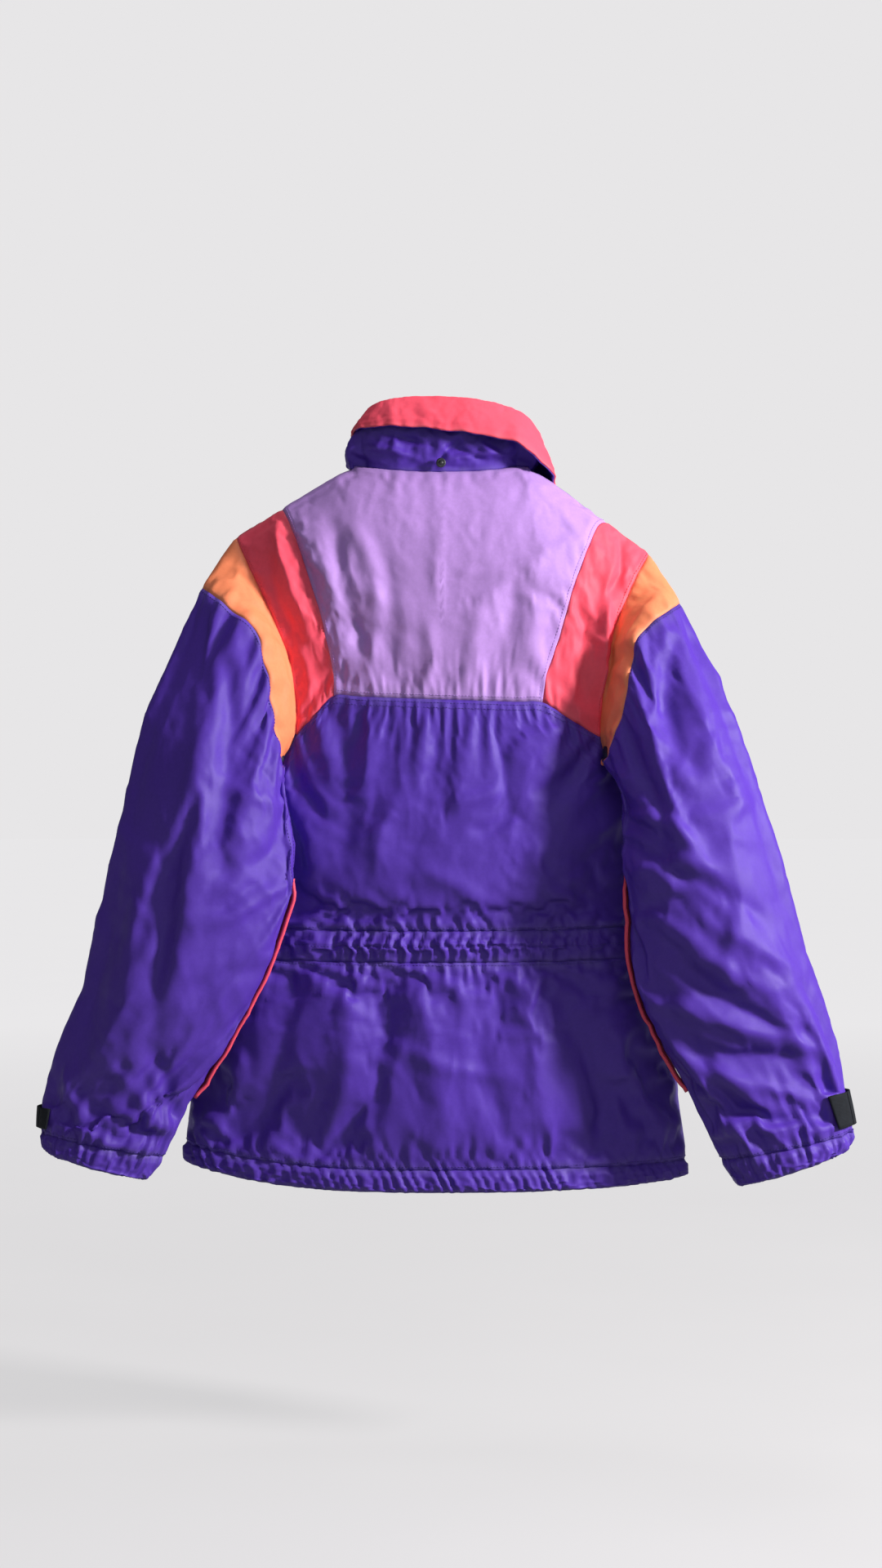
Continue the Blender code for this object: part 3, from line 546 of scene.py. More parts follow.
def torso_height(points, rows, is_back):
    """Height field of the back or a front. rows are in cells of the panel grid."""
    x, z = points[..., 0], points[..., 2]
    height = np.zeros_like(x)
    if is_back:
        height += folds(points, BACK_FOLDS)
    strength = 0.45 + 0.55 * band(x, -0.105, 0.120, 0.05) if is_back else 0.5
    casing = near(rows, 8.5, 0.66)
    slant = x + 0.10 * (z + 0.490)
    height += 0.0030 * strength * casing * gathers(slant + 0.004 * wave(z / 0.03, 4), 0.014, 5)
    height += 0.0018 * strength * near(rows, 8.5, 0.5) * gathers(x - 0.3 * z, 0.0066, 6)
    height += 0.0026 * strength * near(rows, 8.5, 1.3) * wave(slant / 0.055 + 0.6 * wave(z / 0.06, 3), 7)
    height += 0.0022 * near(rows, 8.5, 0.22) * strength
    height -= 0.0016 * (near(rows, 8.0, 0.10) + near(rows, 9.0, 0.12)) * (0.4 + 0.6 * strength)
    height -= 0.0012 * near(rows, 8.5, 0.07) * strength
    height += 0.0012 * near(rows, 3.80, 0.20) * gathers(x, 0.012, 8) * (0.5 + 0.5 * wave(x / 0.05, 12))
    height += 0.0006 * near(rows, 4.25, 0.25) * gathers(x, 0.017, 9) * (0.5 + 0.5 * wave(x / 0.06, 13))
    hem = smooth(rows, 11.75, 12.05)
    height += 0.0017 * hem * gathers(x + 0.5 * z, 0.0125, 10)
    height += 0.0030 * band(rows, 12.15, 12.85, 0.12)
    height += 0.0022 * near(rows, 11.8, 0.22) * gathers(x, 0.021, 11) * (0.6 + 0.4 * wave(x / 0.07, 14))
    return height


def sleeve_height(name, points, rings, angle):
    """Height field of a sleeve. rings are in cells, angle is 0 at the outer edge, pi at the inner."""
    back_side = smooth(np.sin(angle), -0.25, 0.25)
    height = folds(points, SLEEVE_FOLDS[name]) * back_side
    turn = angle / math.tau
    height += 0.0032 * near(rings, 8.0, 1.3) * wave(turn * 12 + 0.35 * rings, 21 + len(name))
    height += 0.0022 * near(rings, 8.9, 0.7) * gathers(turn * 0.9, 0.030, 22)
    height += 0.0010 * smooth(rings, 8.9, 9.1) * gathers(turn * 0.9 + 0.01 * rings, 0.017, 23)
    height += 0.0018 * band(rings, 9.15, 9.85, 0.12)
    height += 0.0022 * near(rings, 1.15, 0.5) * wave(turn * 14, 24 + len(name))
    height += 0.0030 * (1.0 - back_side) * wave(turn * 7 + rings * 0.3, 25) * band(rings, 1.5, 8.0, 1.0)
    seam = near(angle, math.pi * 0.965, 0.055) + near(angle, math.pi * 0.90, 0.045)
    height += 0.0022 * seam * band(rings, 2.2, 5.0, 0.5)
    return height


POCKET_LINE = ((0.118, -0.530), (0.158, -0.655))
TAB_RINGS = (8.25, 8.85)
TAB_DEGREES = {"left": (32, 18, -112), "right": (44, 18, -112)}  # sewn end, hinge line, free end


def pressed_by_tab(name, rings, angle):
    """1 where the cuff strap lies on the sleeve, 0 away from it."""
    turn = (np.degrees(angle) + 180.0) % 360.0 - 180.0
    round_the_sleeve = band(turn, TAB_DEGREES[name][2], TAB_DEGREES[name][0], 8.0)
    return band(rings, TAB_RINGS[0], TAB_RINGS[1], 0.12) * round_the_sleeve


def flat_front(points):
    """Share of the wrinkles kept on a front: few under the opened storm flap and along the pocket zip."""
    x, z = np.abs(points[..., 0]), points[..., 2]
    (x1, z1), (x2, z2) = POCKET_LINE
    along = ((x - x1) * (x2 - x1) + (z - z1) * (z2 - z1)) / ((x2 - x1) ** 2 + (z2 - z1) ** 2)
    along = np.clip(along, 0.0, 1.0)
    away = np.hypot(x - between(x1, x2, along), z - between(z1, z2, along))
    return (0.15 + 0.85 * smooth(x, 0.100, 0.150)) * (1.0 - 0.85 * near(away, 0.0, 0.016))


def near_fold(columns, least):
    """Share of the wrinkles kept near the sleeve's inner and outer edges, where its two walls meet."""
    return between(least, 1.0, smooth(np.abs(np.sin(columns / RING_POINTS * math.tau)), 0.04, 0.45))


def crumple(points, amount, scale, seed, stretch=(1.0, 1.0, 1.0)):
    """Texture of crushed cloth: sharp ridges at two sizes, stronger in some patches than in others."""
    flat = points.reshape(-1, 3) * stretch
    offset = Vector((seed * 3.7, seed * 1.3, seed * 2.1))
    values = np.empty(len(flat))
    for i, p in enumerate(flat):
        q = Vector(p) * scale + offset
        q += 0.55 * noise.noise_vector(q * 0.6)
        first = 1.0 - abs(noise.noise(q)) * 2.2
        second = 1.0 - abs(noise.noise(q * 2.1 + offset)) * 2.2
        patch = 0.75 + 0.9 * noise.noise(q * 0.33 - offset)
        values[i] = patch * (first * abs(first) + 0.5 * second - 0.75)
    return amount * values.reshape(points.shape[:-1])


def creases(points, seed, count, box, lean, tall):
    """Random short creases inside a box of x and z. lean is their direction and its spread."""
    random = np.random.default_rng(seed)
    height = np.zeros(points.shape[:-1])
    x, z = points[..., 0], points[..., 2]
    for _ in range(count):
        middle_x, middle_z = random.uniform(box[0], box[1]), random.uniform(box[2], box[3])
        angle = random.normal(*lean)
        half, width = random.uniform(0.014, 0.042), random.uniform(0.0028, 0.0065)
        rise = tall * random.uniform(0.4, 1.0) * random.choice((-1.0, 1.0))
        bow = random.uniform(-0.006, 0.006)
        along = ((x - middle_x) * math.cos(angle) + (z - middle_z) * math.sin(angle)) / half
        off = (x - middle_x) * math.sin(angle) - (z - middle_z) * math.cos(angle) + bow * along * along
        reach = np.where(off > 0, width, 2.2 * width)
        height += rise * np.exp(-np.abs(off) / reach) * np.clip(1.0 - along * along, 0.0, 1.0) ** 1.5
    return height


SEAM_DEPTH = 0.0011
SEAM_REACH = 0.0026
GROOVE_LINES = 4  # lines of the finest grid on each side that a seam's groove can reach


def cell_coordinates(points):
    """Row and column of each point of a finest grid, in cells of the panel grid."""
    rows = np.arange(points.shape[0])[:, None] / FINE + np.zeros(points.shape[:2])
    columns = np.arange(points.shape[1])[None, :] / FINE + np.zeros(points.shape[:2])
    return rows, columns


def seam_groove(points, line, lo=None, hi=None, by_row=True):
    """Depth of a seam's groove near one grid line, by true distance, over part of the line."""
    p = points if by_row else np.swapaxes(points, 0, 1)
    index = int(round(line * FINE))
    away = np.full(p.shape[:2], 1.0)
    for j in range(index - GROOVE_LINES, index + GROOVE_LINES + 1):
        if 0 <= j < len(p):
            away[j] = np.linalg.norm(p[j] - p[index], axis=-1)
    groove = SEAM_DEPTH * np.exp(-((away / SEAM_REACH) ** 2))
    part = np.arange(p.shape[1]) / FINE
    if lo is not None:
        groove = groove * band(part, lo, hi, 0.05)[None, :]
    return groove if by_row else groove.T


# Cloth simulation of the whole outer surface

EXTRA_CLOTH = 0.07  # share by which the cloth is cut too large for its seams
SIM_FRAMES = 24
MOST_SHIFT = 0.009
YOKE_CRUMPLE = 0.4  # share of the shift that the yoke and the sleeve caps keep
CLOTH_SETTINGS = {
    "quality": 4,
    "mass": 0.25,
    "air_damping": 2.0,
    "tension_stiffness": 18,
    "compression_stiffness": 18,
    "shear_stiffness": 9,
    "bending_stiffness": 1.2,
    "tension_damping": 8,
    "compression_damping": 8,
    "bending_damping": 0.6,
    "shrink_min": -EXTRA_CLOTH,
    "use_pressure": True,
    "uniform_pressure_force": 1.0,
    "vertex_group_mass": "hold",
    "pin_stiffness": 1.0,
}


def cloth_object(start, faces, hold):
    """The object that the simulation runs on, with its settings."""
    mesh = bpy.data.meshes.new("cloth")
    mesh.from_pydata(start.tolist(), [], [f for f in faces.tolist() if len(set(f)) == 4])
    cloth = bpy.data.objects.new("cloth", mesh)
    bpy.context.scene.collection.objects.link(cloth)
    group = cloth.vertex_groups.new(name="hold")
    for i, weight in enumerate(hold):
        group.add([i], float(weight), "REPLACE")
    modifier = cloth.modifiers.new("Cloth", "CLOTH")
    for name, value in CLOTH_SETTINGS.items():
        setattr(modifier.settings, name, value)
    modifier.settings.effector_weights.gravity = 0.25
    modifier.collision_settings.use_collision = False
    modifier.point_cache.frame_start = 1
    modifier.point_cache.frame_end = SIM_FRAMES
    return cloth


def simulated_shift(points, indices, hold):
    """How far each point of the coarser grid moves as padded cloth, puffed and a little too large."""
    keep = {name: index[::SIM_STEP, ::SIM_STEP] for name, index in indices.items()}
    used = np.unique(np.concatenate([k.reshape(-1) for k in keep.values()]))
    place = np.full(len(points), -1)
    place[used] = np.arange(len(used))
    faces = []
    for name, index in keep.items():
        quads = place[index.reshape(-1)[grid_faces(*index.shape, WRAPPED[name])]]
        faces.append(quads[:, ::-1] if FLIPPED[name] else quads)
    start = points[used]
    cloth = cloth_object(start, np.concatenate(faces), hold[used])
    for number in range(1, SIM_FRAMES + 1):
        bpy.context.scene.frame_set(number)
    result = cloth.evaluated_get(bpy.context.evaluated_depsgraph_get()).data
    moved = np.empty(len(used) * 3)
    result.vertices.foreach_get("co", moved)
    shift = moved.reshape(-1, 3) - start
    bpy.context.scene.frame_set(1)
    mesh = cloth.data
    bpy.data.objects.remove(cloth)
    bpy.data.meshes.remove(mesh)
    length = np.linalg.norm(shift, axis=1)
    shift *= (MOST_SHIFT * np.tanh(length / MOST_SHIFT) / np.maximum(length, 1e-9))[:, None]
    return {name: shift[place[index]] for name, index in keep.items()}


def halve_steps(grid, wrapped):
    """Puts a smooth point between each two of a grid, both ways."""
    return across(spline(grid, SIM_STEP), SIM_STEP, wrapped)


def holding(grids, indices, count):
    """How firmly the simulation holds each point: seams fully, the fields of cloth between them hardly."""
    hold = np.zeros(count)
    for name, points in grids.items():
        rows, columns = cell_coordinates(points)
        if name.startswith("sleeve"):
            lines = [(rows, r) for r in (*SLEEVE_CAP_RINGS, *CUFF_RINGS)]
            lines.append((columns, RING_POINTS / 2))
        else:
            lines = [(rows, r) for r in (0, YOKE_ROW, *CASING_ROWS, *HEM_ROWS)]
            yoke_columns = np.where(rows <= YOKE_ROW, columns, 99)  # 99: far from every line
            last = BACK_COLUMNS if name == "back" else MIDDLE_COLUMN
            lines += [(columns, 0), (columns, last), (yoke_columns, CORAL_COLUMN)]
            if name == "back":
                lines.append((yoke_columns, BACK_COLUMNS - CORAL_COLUMN))
        tight = np.full(points.shape[:2], 0.04)
        for axis, line in lines:
            tight = np.maximum(tight, near(axis, line, 0.16))
        tight = np.where(tight > 0.9, 1.0, tight)
        np.maximum.at(hold, indices[name].reshape(-1), tight.reshape(-1))
    return hold


def large_folds(name, grid):
    """Height of one grid's folds and gathers."""
    rows, columns = cell_coordinates(grid)
    if not name.startswith("sleeve"):
        fixed = 1.0 - 0.7 * near(rows, 0.0, 0.25) - 0.7 * near(columns, 0.0, 0.25)
        if name != "back":
            fixed = fixed * flat_front(grid)
        return torso_height(grid, rows, name == "back") * fixed
    angle = columns / RING_POINTS * math.tau
    against_body = smooth(-np.sin(angle), 0.0, 0.5) * smooth(rows, 1.0, 2.0)
    under_tab = pressed_by_tab(name[7:], rows, angle)
    field = sleeve_height(name[7:], grid, rows, angle) * near_fold(columns, 0.35)
    field = field * (1.0 - 0.65 * against_body) * (1.0 - 0.9 * under_tab)
    return field * (1.0 - near(rows, 0.0, 0.25))


def kept_shift(name, shift, grid):
    """The simulated shift on one grid's full number of points, with less of it where the cloth lies flat."""
    fine = halve_steps(shift, WRAPPED[name])
    rows, columns = cell_coordinates(fine)
    sleeve = name.startswith("sleeve")
    flatter = smooth(rows, 0.6, 1.6) if sleeve else smooth(rows, 3.4, 4.4)
    fine *= between(YOKE_CRUMPLE, 1.0, flatter)[..., None]
    if name.startswith("front"):
        fine *= flat_front(grid)[..., None]
    if sleeve:
        fine *= near_fold(columns, 0.0)[..., None]
        fine *= 1.0 - 0.9 * pressed_by_tab(name[7:], rows, columns / RING_POINTS * math.tau)[..., None]
    return fine


def seam_grooves(name, grid):
    """Depth of all seam grooves of one grid."""
    if name.startswith("sleeve"):
        return sum(seam_groove(grid, line) for line in (*SLEEVE_CAP_RINGS, CUFF_RINGS[0]))
    groove = sum(seam_groove(grid, line) for line in (YOKE_ROW, *CASING_ROWS, HEM_ROWS[0]))
    coral = (CORAL_COLUMN, BACK_COLUMNS - CORAL_COLUMN) if name == "back" else (CORAL_COLUMN,)
    groove = groove + sum(seam_groove(grid, line, -1, YOKE_ROW, False) for line in coral)
    return groove + seam_groove(grid, 0, by_row=False)


def shaped_surfaces():
    """The finished outer surface of every grid, with its normals."""
    grids = base_grids()
    points, indices = welded(grids)
    normals = outward_normals(points, indices)
    height = np.zeros(len(points))
    weight = np.zeros(len(points))
    for name, grid in grids.items():
        flat = indices[name].reshape(-1)
        np.add.at(height, flat, large_folds(name, grid).reshape(-1))
        np.add.at(weight, flat, 1.0)
    points = points + normals * (height / weight)[:, None]
    shifts = simulated_shift(points, indices, holding(grids, indices, len(points)))
    total = np.zeros_like(points)
    for name, shift in shifts.items():
        fine = kept_shift(name, shift, grids[name])
        np.add.at(total, indices[name].reshape(-1), fine.reshape(-1, 3))
    points = points + total / weight[:, None]
    normals = outward_normals(points, indices)
    creased = crumple(points, 0.0012, 19.0, 1, (1.0, 1.0, 0.7)) + crumple(points, 0.0006, 52.0, 2)
    for seed, (count, box, lean, tall) in enumerate(CREASES):
        creased += creases(points, 50 + seed, count, box, lean, tall)
    for name, index in indices.items():
        flat = index.reshape(-1)
        groove = seam_grooves(name, points[index]).reshape(-1)
        share = np.clip(groove / SEAM_DEPTH, 0.0, 1.0)
        creased[flat] = creased[flat] * (1.0 - 0.8 * share) - groove
    points = points + normals * creased[:, None]
    normals = outward_normals(points, indices)
    return {name: (points[index], normals[index]) for name, index in indices.items()}


# Materials


def node_material(name, colour, roughness):
    """A new material with its node tree and its shader."""
    made = bpy.data.materials.new(name)
    made.use_nodes = True
    shader = made.node_tree.nodes["Principled BSDF"]
    shader.inputs["Base Color"].default_value = (*colour, 1.0)
    shader.inputs["Roughness"].default_value = roughness
    made.diffuse_color = (*colour, 1.0)
    return made, made.node_tree, shader


def object_coordinates(tree):
    return tree.nodes.new("ShaderNodeTexCoord").outputs["Object"]


def noise_node(tree, coordinates, scale, detail, kind="FBM"):
    """Noise of a number of grains to the metre."""
    made = tree.nodes.new("ShaderNodeTexNoise")
    made.noise_type = kind
    made.inputs["Scale"].default_value = scale
    made.inputs["Detail"].default_value = detail
    tree.links.new(coordinates, made.inputs["Vector"])
    return made.outputs["Fac"]


def combined(tree, operation, first, second):
    """Two values added or multiplied."""
    made = tree.nodes.new("ShaderNodeMath")
    made.operation = operation
    tree.links.new(first, made.inputs[0])
    tree.links.new(second, made.inputs[1])
    return made.outputs[0]


def remap(tree, value, low, high, to_low=0.0, to_high=1.0):
    """A value stretched from one range to another."""
    made = tree.nodes.new("ShaderNodeMapRange")
    for socket, number in zip(made.inputs[1:5], (low, high, to_low, to_high)):
        socket.default_value = number
    tree.links.new(value, made.inputs[0])
    return made.outputs[0]


def thread_wave(tree, coordinates, direction, scale):
    """Parallel threads in one direction."""
    made = tree.nodes.new("ShaderNodeTexWave")
    made.bands_direction = direction
    made.inputs["Scale"].default_value = scale
    made.inputs["Distortion"].default_value = 0.6
    tree.links.new(coordinates, made.inputs["Vector"])
    return made.outputs["Fac"]


def bump(tree, shader, height, strength, distance, under=None):
    """A bump on the shader, over another one where under is given."""
    made = tree.nodes.new("ShaderNodeBump")
    made.inputs["Strength"].default_value = strength
    made.inputs["Distance"].default_value = distance
    tree.links.new(height, made.inputs["Height"])
    if under is not None:
        tree.links.new(under, made.inputs["Normal"])
    tree.links.new(made.outputs[0], shader.inputs["Normal"])
    return made.outputs[0]


def scaled(colour, amount):
    """A lighter or darker tone of a colour."""
    return tuple(min(1.0, c * amount) for c in colour)


def mix_colours(tree, factor, first, second):
    """Two colours mixed. The factor is a number or a socket, and each colour is a tuple or a socket."""
    made = tree.nodes.new("ShaderNodeMix")
    made.data_type = "RGBA"
    for socket, value in (("Factor", factor), ("A", first), ("B", second)):
        if isinstance(value, float):
            made.inputs[socket].default_value = value
        elif isinstance(value, tuple):
            made.inputs[socket].default_value = (*value, 1.0)
        else:
            tree.links.new(value, made.inputs[socket])
    return made.outputs["Result"]


def patches(tree, where, scale, detail, low, high, to_low=0.0, to_high=1.0):
    """Noise with its middle range stretched, so that it makes clear patches."""
    return remap(tree, noise_node(tree, where, scale, detail), low, high, to_low, to_high)


def set_tones(tree, shader, factor, darker, lighter):
    """Base colour between two tones."""
    tree.links.new(mix_colours(tree, factor, darker, lighter), shader.inputs["Base Color"])


def set_sheen(shader, weight, colour, specular):
    shader.inputs["Sheen Weight"].default_value = weight
    shader.inputs["Sheen Tint"].default_value = (*colour, 1.0)
    shader.inputs["Specular IOR Level"].default_value = specular


def nylon(name, colour, roughness=0.50, sheen=0.04):
    """Matt woven nylon: two thread directions, fine crush creases, slight fading and rubbed seam edges."""
    made, tree, shader = node_material(name, colour, roughness)
    set_sheen(shader, sheen, colour, 0.22)
    shader.inputs["Sheen Roughness"].default_value = 0.45
    where = object_coordinates(tree)
    blotches = patches(tree, where, 9.0, 3.0, 0.35, 0.65)
    slubs = patches(tree, where, 320.0, 2.0, 0.35, 0.7)
    tone = mix_colours(tree, blotches, scaled(colour, 0.92), scaled(colour, 1.06))
    fleck = mix_colours(tree, slubs, scaled(colour, 0.93), scaled(colour, 1.07))
    worn = tree.nodes.new("ShaderNodeAttribute")
    worn.attribute_name = "wear"
    rubs = patches(tree, where, 60.0, 3.0, 0.4, 0.7, 0.1, 0.6)
    rubbed = combined(tree, "MULTIPLY", worn.outputs["Fac"], rubs)
    faded = tuple(min(1.0, 0.80 * c + 0.10) for c in colour)
    set_tones(tree, shader, rubbed, mix_colours(tree, 0.5, tone, fleck), faded)
    rough = patches(tree, where, 22.0, 2.0, 0.3, 0.7, roughness - 0.08, roughness + 0.08)
    tree.links.new(rough, shader.inputs["Roughness"])
    crushed = bump(tree, shader, noise_node(tree, where, 34.0, 4.0, "RIDGED_MULTIFRACTAL"), 0.45, 0.0022)
    weave = combined(tree, "ADD", thread_wave(tree, where, "X", 480.0), thread_wave(tree, where, "Z", 480.0))
    bump(tree, shader, weave, 0.25, 0.00015, crushed)
    return made


def tape(name, colour, roughness=0.8):
    """Ribbed woven tape."""
    made, tree, shader = node_material(name, colour, roughness)
    where = object_coordinates(tree)
    shade = patches(tree, where, 140.0, 3.0, 0.3, 0.7)
    set_tones(tree, shader, shade, scaled(colour, 0.75), scaled(colour, 1.35))
    ribs = combined(tree, "ADD", thread_wave(tree, where, "Z", 300.0), thread_wave(tree, where, "X", 300.0))
    bump(tree, shader, ribs, 0.5, 0.0003)
    set_sheen(shader, 0.1, colour, 0.25)
    return made


def plastic(name, colour, roughness=0.32):
    """Moulded plastic with a fine eggshell grain and worn high spots."""
    made, tree, shader = node_material(name, colour, roughness)
    where = object_coordinates(tree)
    scuffs = patches(tree, where, 70.0, 4.0, 0.4, 0.7, roughness, roughness + 0.25)
    tree.links.new(scuffs, shader.inputs["Roughness"])
    shade = patches(tree, where, 50.0, 2.0, 0.3, 0.7)
    set_tones(tree, shader, shade, scaled(colour, 0.8), scaled(colour, 1.5))
    bump(tree, shader, noise_node(tree, where, 900.0, 2.0), 0.25, 0.0001)
    return made


def fluff(name, colour):
    """Fibrous polyester wadding."""
    made, tree, shader = node_material(name, colour, 0.95)
    fibres = noise_node(tree, object_coordinates(tree), 260.0, 6.0)
    set_tones(tree, shader, remap(tree, fibres, 0.3, 0.7), scaled(colour, 0.8), scaled(colour, 1.1))
    shader.inputs["Sheen Weight"].default_value = 0.4
    bump(tree, shader, fibres, 0.6, 0.001)
    return made


PURPLE = (0.086, 0.032, 0.385)
LILAC = (0.470, 0.265, 0.680)
CORAL = (0.980, 0.090, 0.150)
ORANGE = (1.000, 0.270, 0.120)

LOOKS = {
    name: make(name, *settings)
    for name, make, *settings in (
        ("purple_nylon", nylon, PURPLE),
        ("lilac_nylon", nylon, LILAC, 0.55, 0.06),
        ("coral_nylon", nylon, CORAL, 0.55, 0.06),
        ("orange_nylon", nylon, ORANGE, 0.55, 0.06),
        ("wadding", fluff, (0.70, 0.70, 0.68)),
        ("lining", nylon, (0.014, 0.013, 0.035), 0.42, 0.10),
        ("elastic", tape, (0.60, 0.60, 0.58)),
        ("black_plastic", plastic, (0.012, 0.014, 0.018)),
        ("black_tape", tape, (0.006, 0.008, 0.012), 0.85),
        ("zip_tape", tape, (0.040, 0.020, 0.150), 0.75),
        # a darkened copy of the coral nylon, used for the piping's flange: painted shade
        ("coral_dark", nylon, (0.230, 0.010, 0.030)),
        ("thread_purple", tape, (0.075, 0.040, 0.300), 0.7),
        ("thread_lilac", tape, (0.400, 0.230, 0.600), 0.7),
        ("thread_coral", tape, (0.850, 0.080, 0.130), 0.7),
    )
}


# Building pieces


def piece(name, points, faces, look, body, replaced=(), slot=None, smooth_faces=True):
    """A mesh object that rides on a body. Without a body, it is left unparented."""
    mesh = bpy.data.meshes.new(name)
    mesh.from_pydata(np.asarray(points).tolist(), [], [tuple(f) for f in faces])
    mesh.materials.append(LOOKS[look])
    if smooth_faces:
        mesh.polygons.foreach_set("use_smooth", [True] * len(mesh.polygons))
    mesh.update()
    made = bpy.data.objects.new(name, mesh)
    bpy.context.scene.collection.objects.link(made)
    if body:
        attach(made, body)
    if replaced:
        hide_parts(*replaced)
    return made


def set_wear(made, values):
    """How rubbed each point is, which the nylon reads."""
    attribute = made.data.attributes.new("wear", "FLOAT", "POINT")
    attribute.data.foreach_set("value", np.asarray(values, np.float32))


def closed_layer(grid, normals, wrapped, flipped, rows, columns, depths, step):
    """Points and faces of a panel between two depths under the surface, and its wear."""
    r = slice(rows[0] * FINE, rows[1] * FINE + 1, step)
    c = slice(None) if wrapped else slice(columns[0] * FINE, columns[1] * FINE + 1, step)
    points, outward = grid[r, c].copy(), normals[r, c]
    everything = slice(None)
    edges = [((0, everything), (1, everything)), ((-1, everything), (-2, everything))]
    if not wrapped:
        edges += [((everything, 0), (everything, 1)), ((everything, -1), (everything, -2))]
    for edge, inner in edges:
        way = points[inner] - points[edge]
        points[edge] += PANEL_GAP * way / np.maximum(np.linalg.norm(way, axis=-1), 1e-9)[..., None]
    return solid_between(points, outward, wrapped, flipped, depths)


FULL_ROOM = 0.024  # distance between a sleeve's two walls above which its layers have their full depth


def room_inside(points, outward):
    """For each point of a sleeve, the share of a layer's full depth that fits before the opposite wall."""
    opposite = np.roll(points[:, ::-1], 1, axis=1)
    gap = ((points - opposite) * outward).sum(axis=-1)
    return np.clip((gap - 0.004) / FULL_ROOM, 0.02, 1.0)


def solid_between(points, outward, wrapped, flipped, depths):
    """A closed sheet between two depths under a grid of points, and how near each point is to its edge."""
    room = room_inside(points, outward)[..., None] if wrapped else 1.0
    depths = [SHELL[1] + (d - SHELL[1]) * room if d > SHELL[1] else d for d in depths]
    shape = points.shape[:2]
    count = shape[0] * shape[1]
    quads = grid_faces(*shape, wrapped)
    if flipped:
        quads = quads[:, ::-1]
    rim = np.concatenate([quads[:, [k, (k + 1) % 4]] for k in range(4)])
    code = rim[:, 0].astype(np.int64) * count + rim[:, 1]
    opposite = rim[:, 1].astype(np.int64) * count + rim[:, 0]
    rim = rim[~np.isin(code, opposite)]
    walls = np.stack([rim[:, 1], rim[:, 0], rim[:, 0] + count, rim[:, 1] + count], axis=-1)
    faces = np.concatenate([quads, quads[:, ::-1] + count, walls])
    outer, inner = ((points - outward * d).reshape(-1, 3) for d in depths)
    near_edge = np.zeros(shape)
    for k, amount in enumerate((1.0, 0.6, 0.25)):
        lines = [near_edge[k], near_edge[-1 - k]]
        if not wrapped:
            lines += [near_edge[:, k], near_edge[:, -1 - k]]
        for line in lines:
            np.maximum(line, amount, out=line)
    return np.concatenate([outer, inner]), faces, np.tile(near_edge.reshape(-1), 2)


def sheet_piece(name, grid, normals, flipped, depths, look, body, replaced=()):
    """A closed sheet between two depths under a grid of points, as its own piece."""
    points, faces, wear = solid_between(grid, normals, False, flipped, depths)
    set_wear(piece(name, points, faces, look, body, replaced), wear)


def evened(normals, wrapped, reach=4):
    """Normals averaged with their neighbours, for the layers that don't follow each small wrinkle."""
    total = normals
    for axis in (0, 1):
        pad = [(0, 0)] * 3
        pad[axis] = (reach, reach)
        padded = np.pad(total, pad, "wrap" if wrapped and axis == 1 else "edge")
        size = total.shape[axis]
        total = sum(np.take(padded, np.arange(k, k + size), axis=axis) for k in range(2 * reach + 1))
    return total / np.maximum(np.linalg.norm(total, axis=-1), 1e-9)[..., None]


LAYER_DEPTHS = {"wadding": PADDING, "lining": INSIDE, "elastic": ELASTIC}


def panel(name, surface_name, rows, columns, look, body, node):
    """A sewn panel, or a layer under it, cut from one surface. It stands for one CAD node."""
    wrapped = WRAPPED[surface_name]
    grid, normals = SURFACES[surface_name]
    depths = LAYER_DEPTHS.get(look, SHELL)
    if depths[0] > SHELL[1]:
        normals = evened(normals, wrapped)
    step = 2 if look in ("wadding", "lining") and not wrapped else 1
    points, faces, wear = closed_layer(
        grid, normals, wrapped, FLIPPED[surface_name], rows, columns, depths, step)
    made = piece(name, points, faces, look, body, [node])
    set_wear(made, wear)
    return made


def sleeve_panel(name, side_name, rows, look, node):
    """A sleeve layer, made on no body, with its transform baked into its points."""
    surface_name = "sleeve_" + side_name
    made = panel(name, surface_name, rows, None, look, None, node)
    block = slice(rows[0] * FINE, rows[1] * FINE + 1)
    return bend_with_sleeve(made)


def bend_with_sleeve(made):
    """Bakes the piece's transform into its mesh."""
    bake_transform(made)
    return made


def ring_follow(rings, columns):
    """A share from 0 to 1 down a sleeve: rising fast over the shoulder, slowly under the arm."""
    inner = (1.0 - np.cos(columns / RING_POINTS * math.tau)) / 2
    return smooth(rings, 0.0, 1.6 + 2.6 * inner)


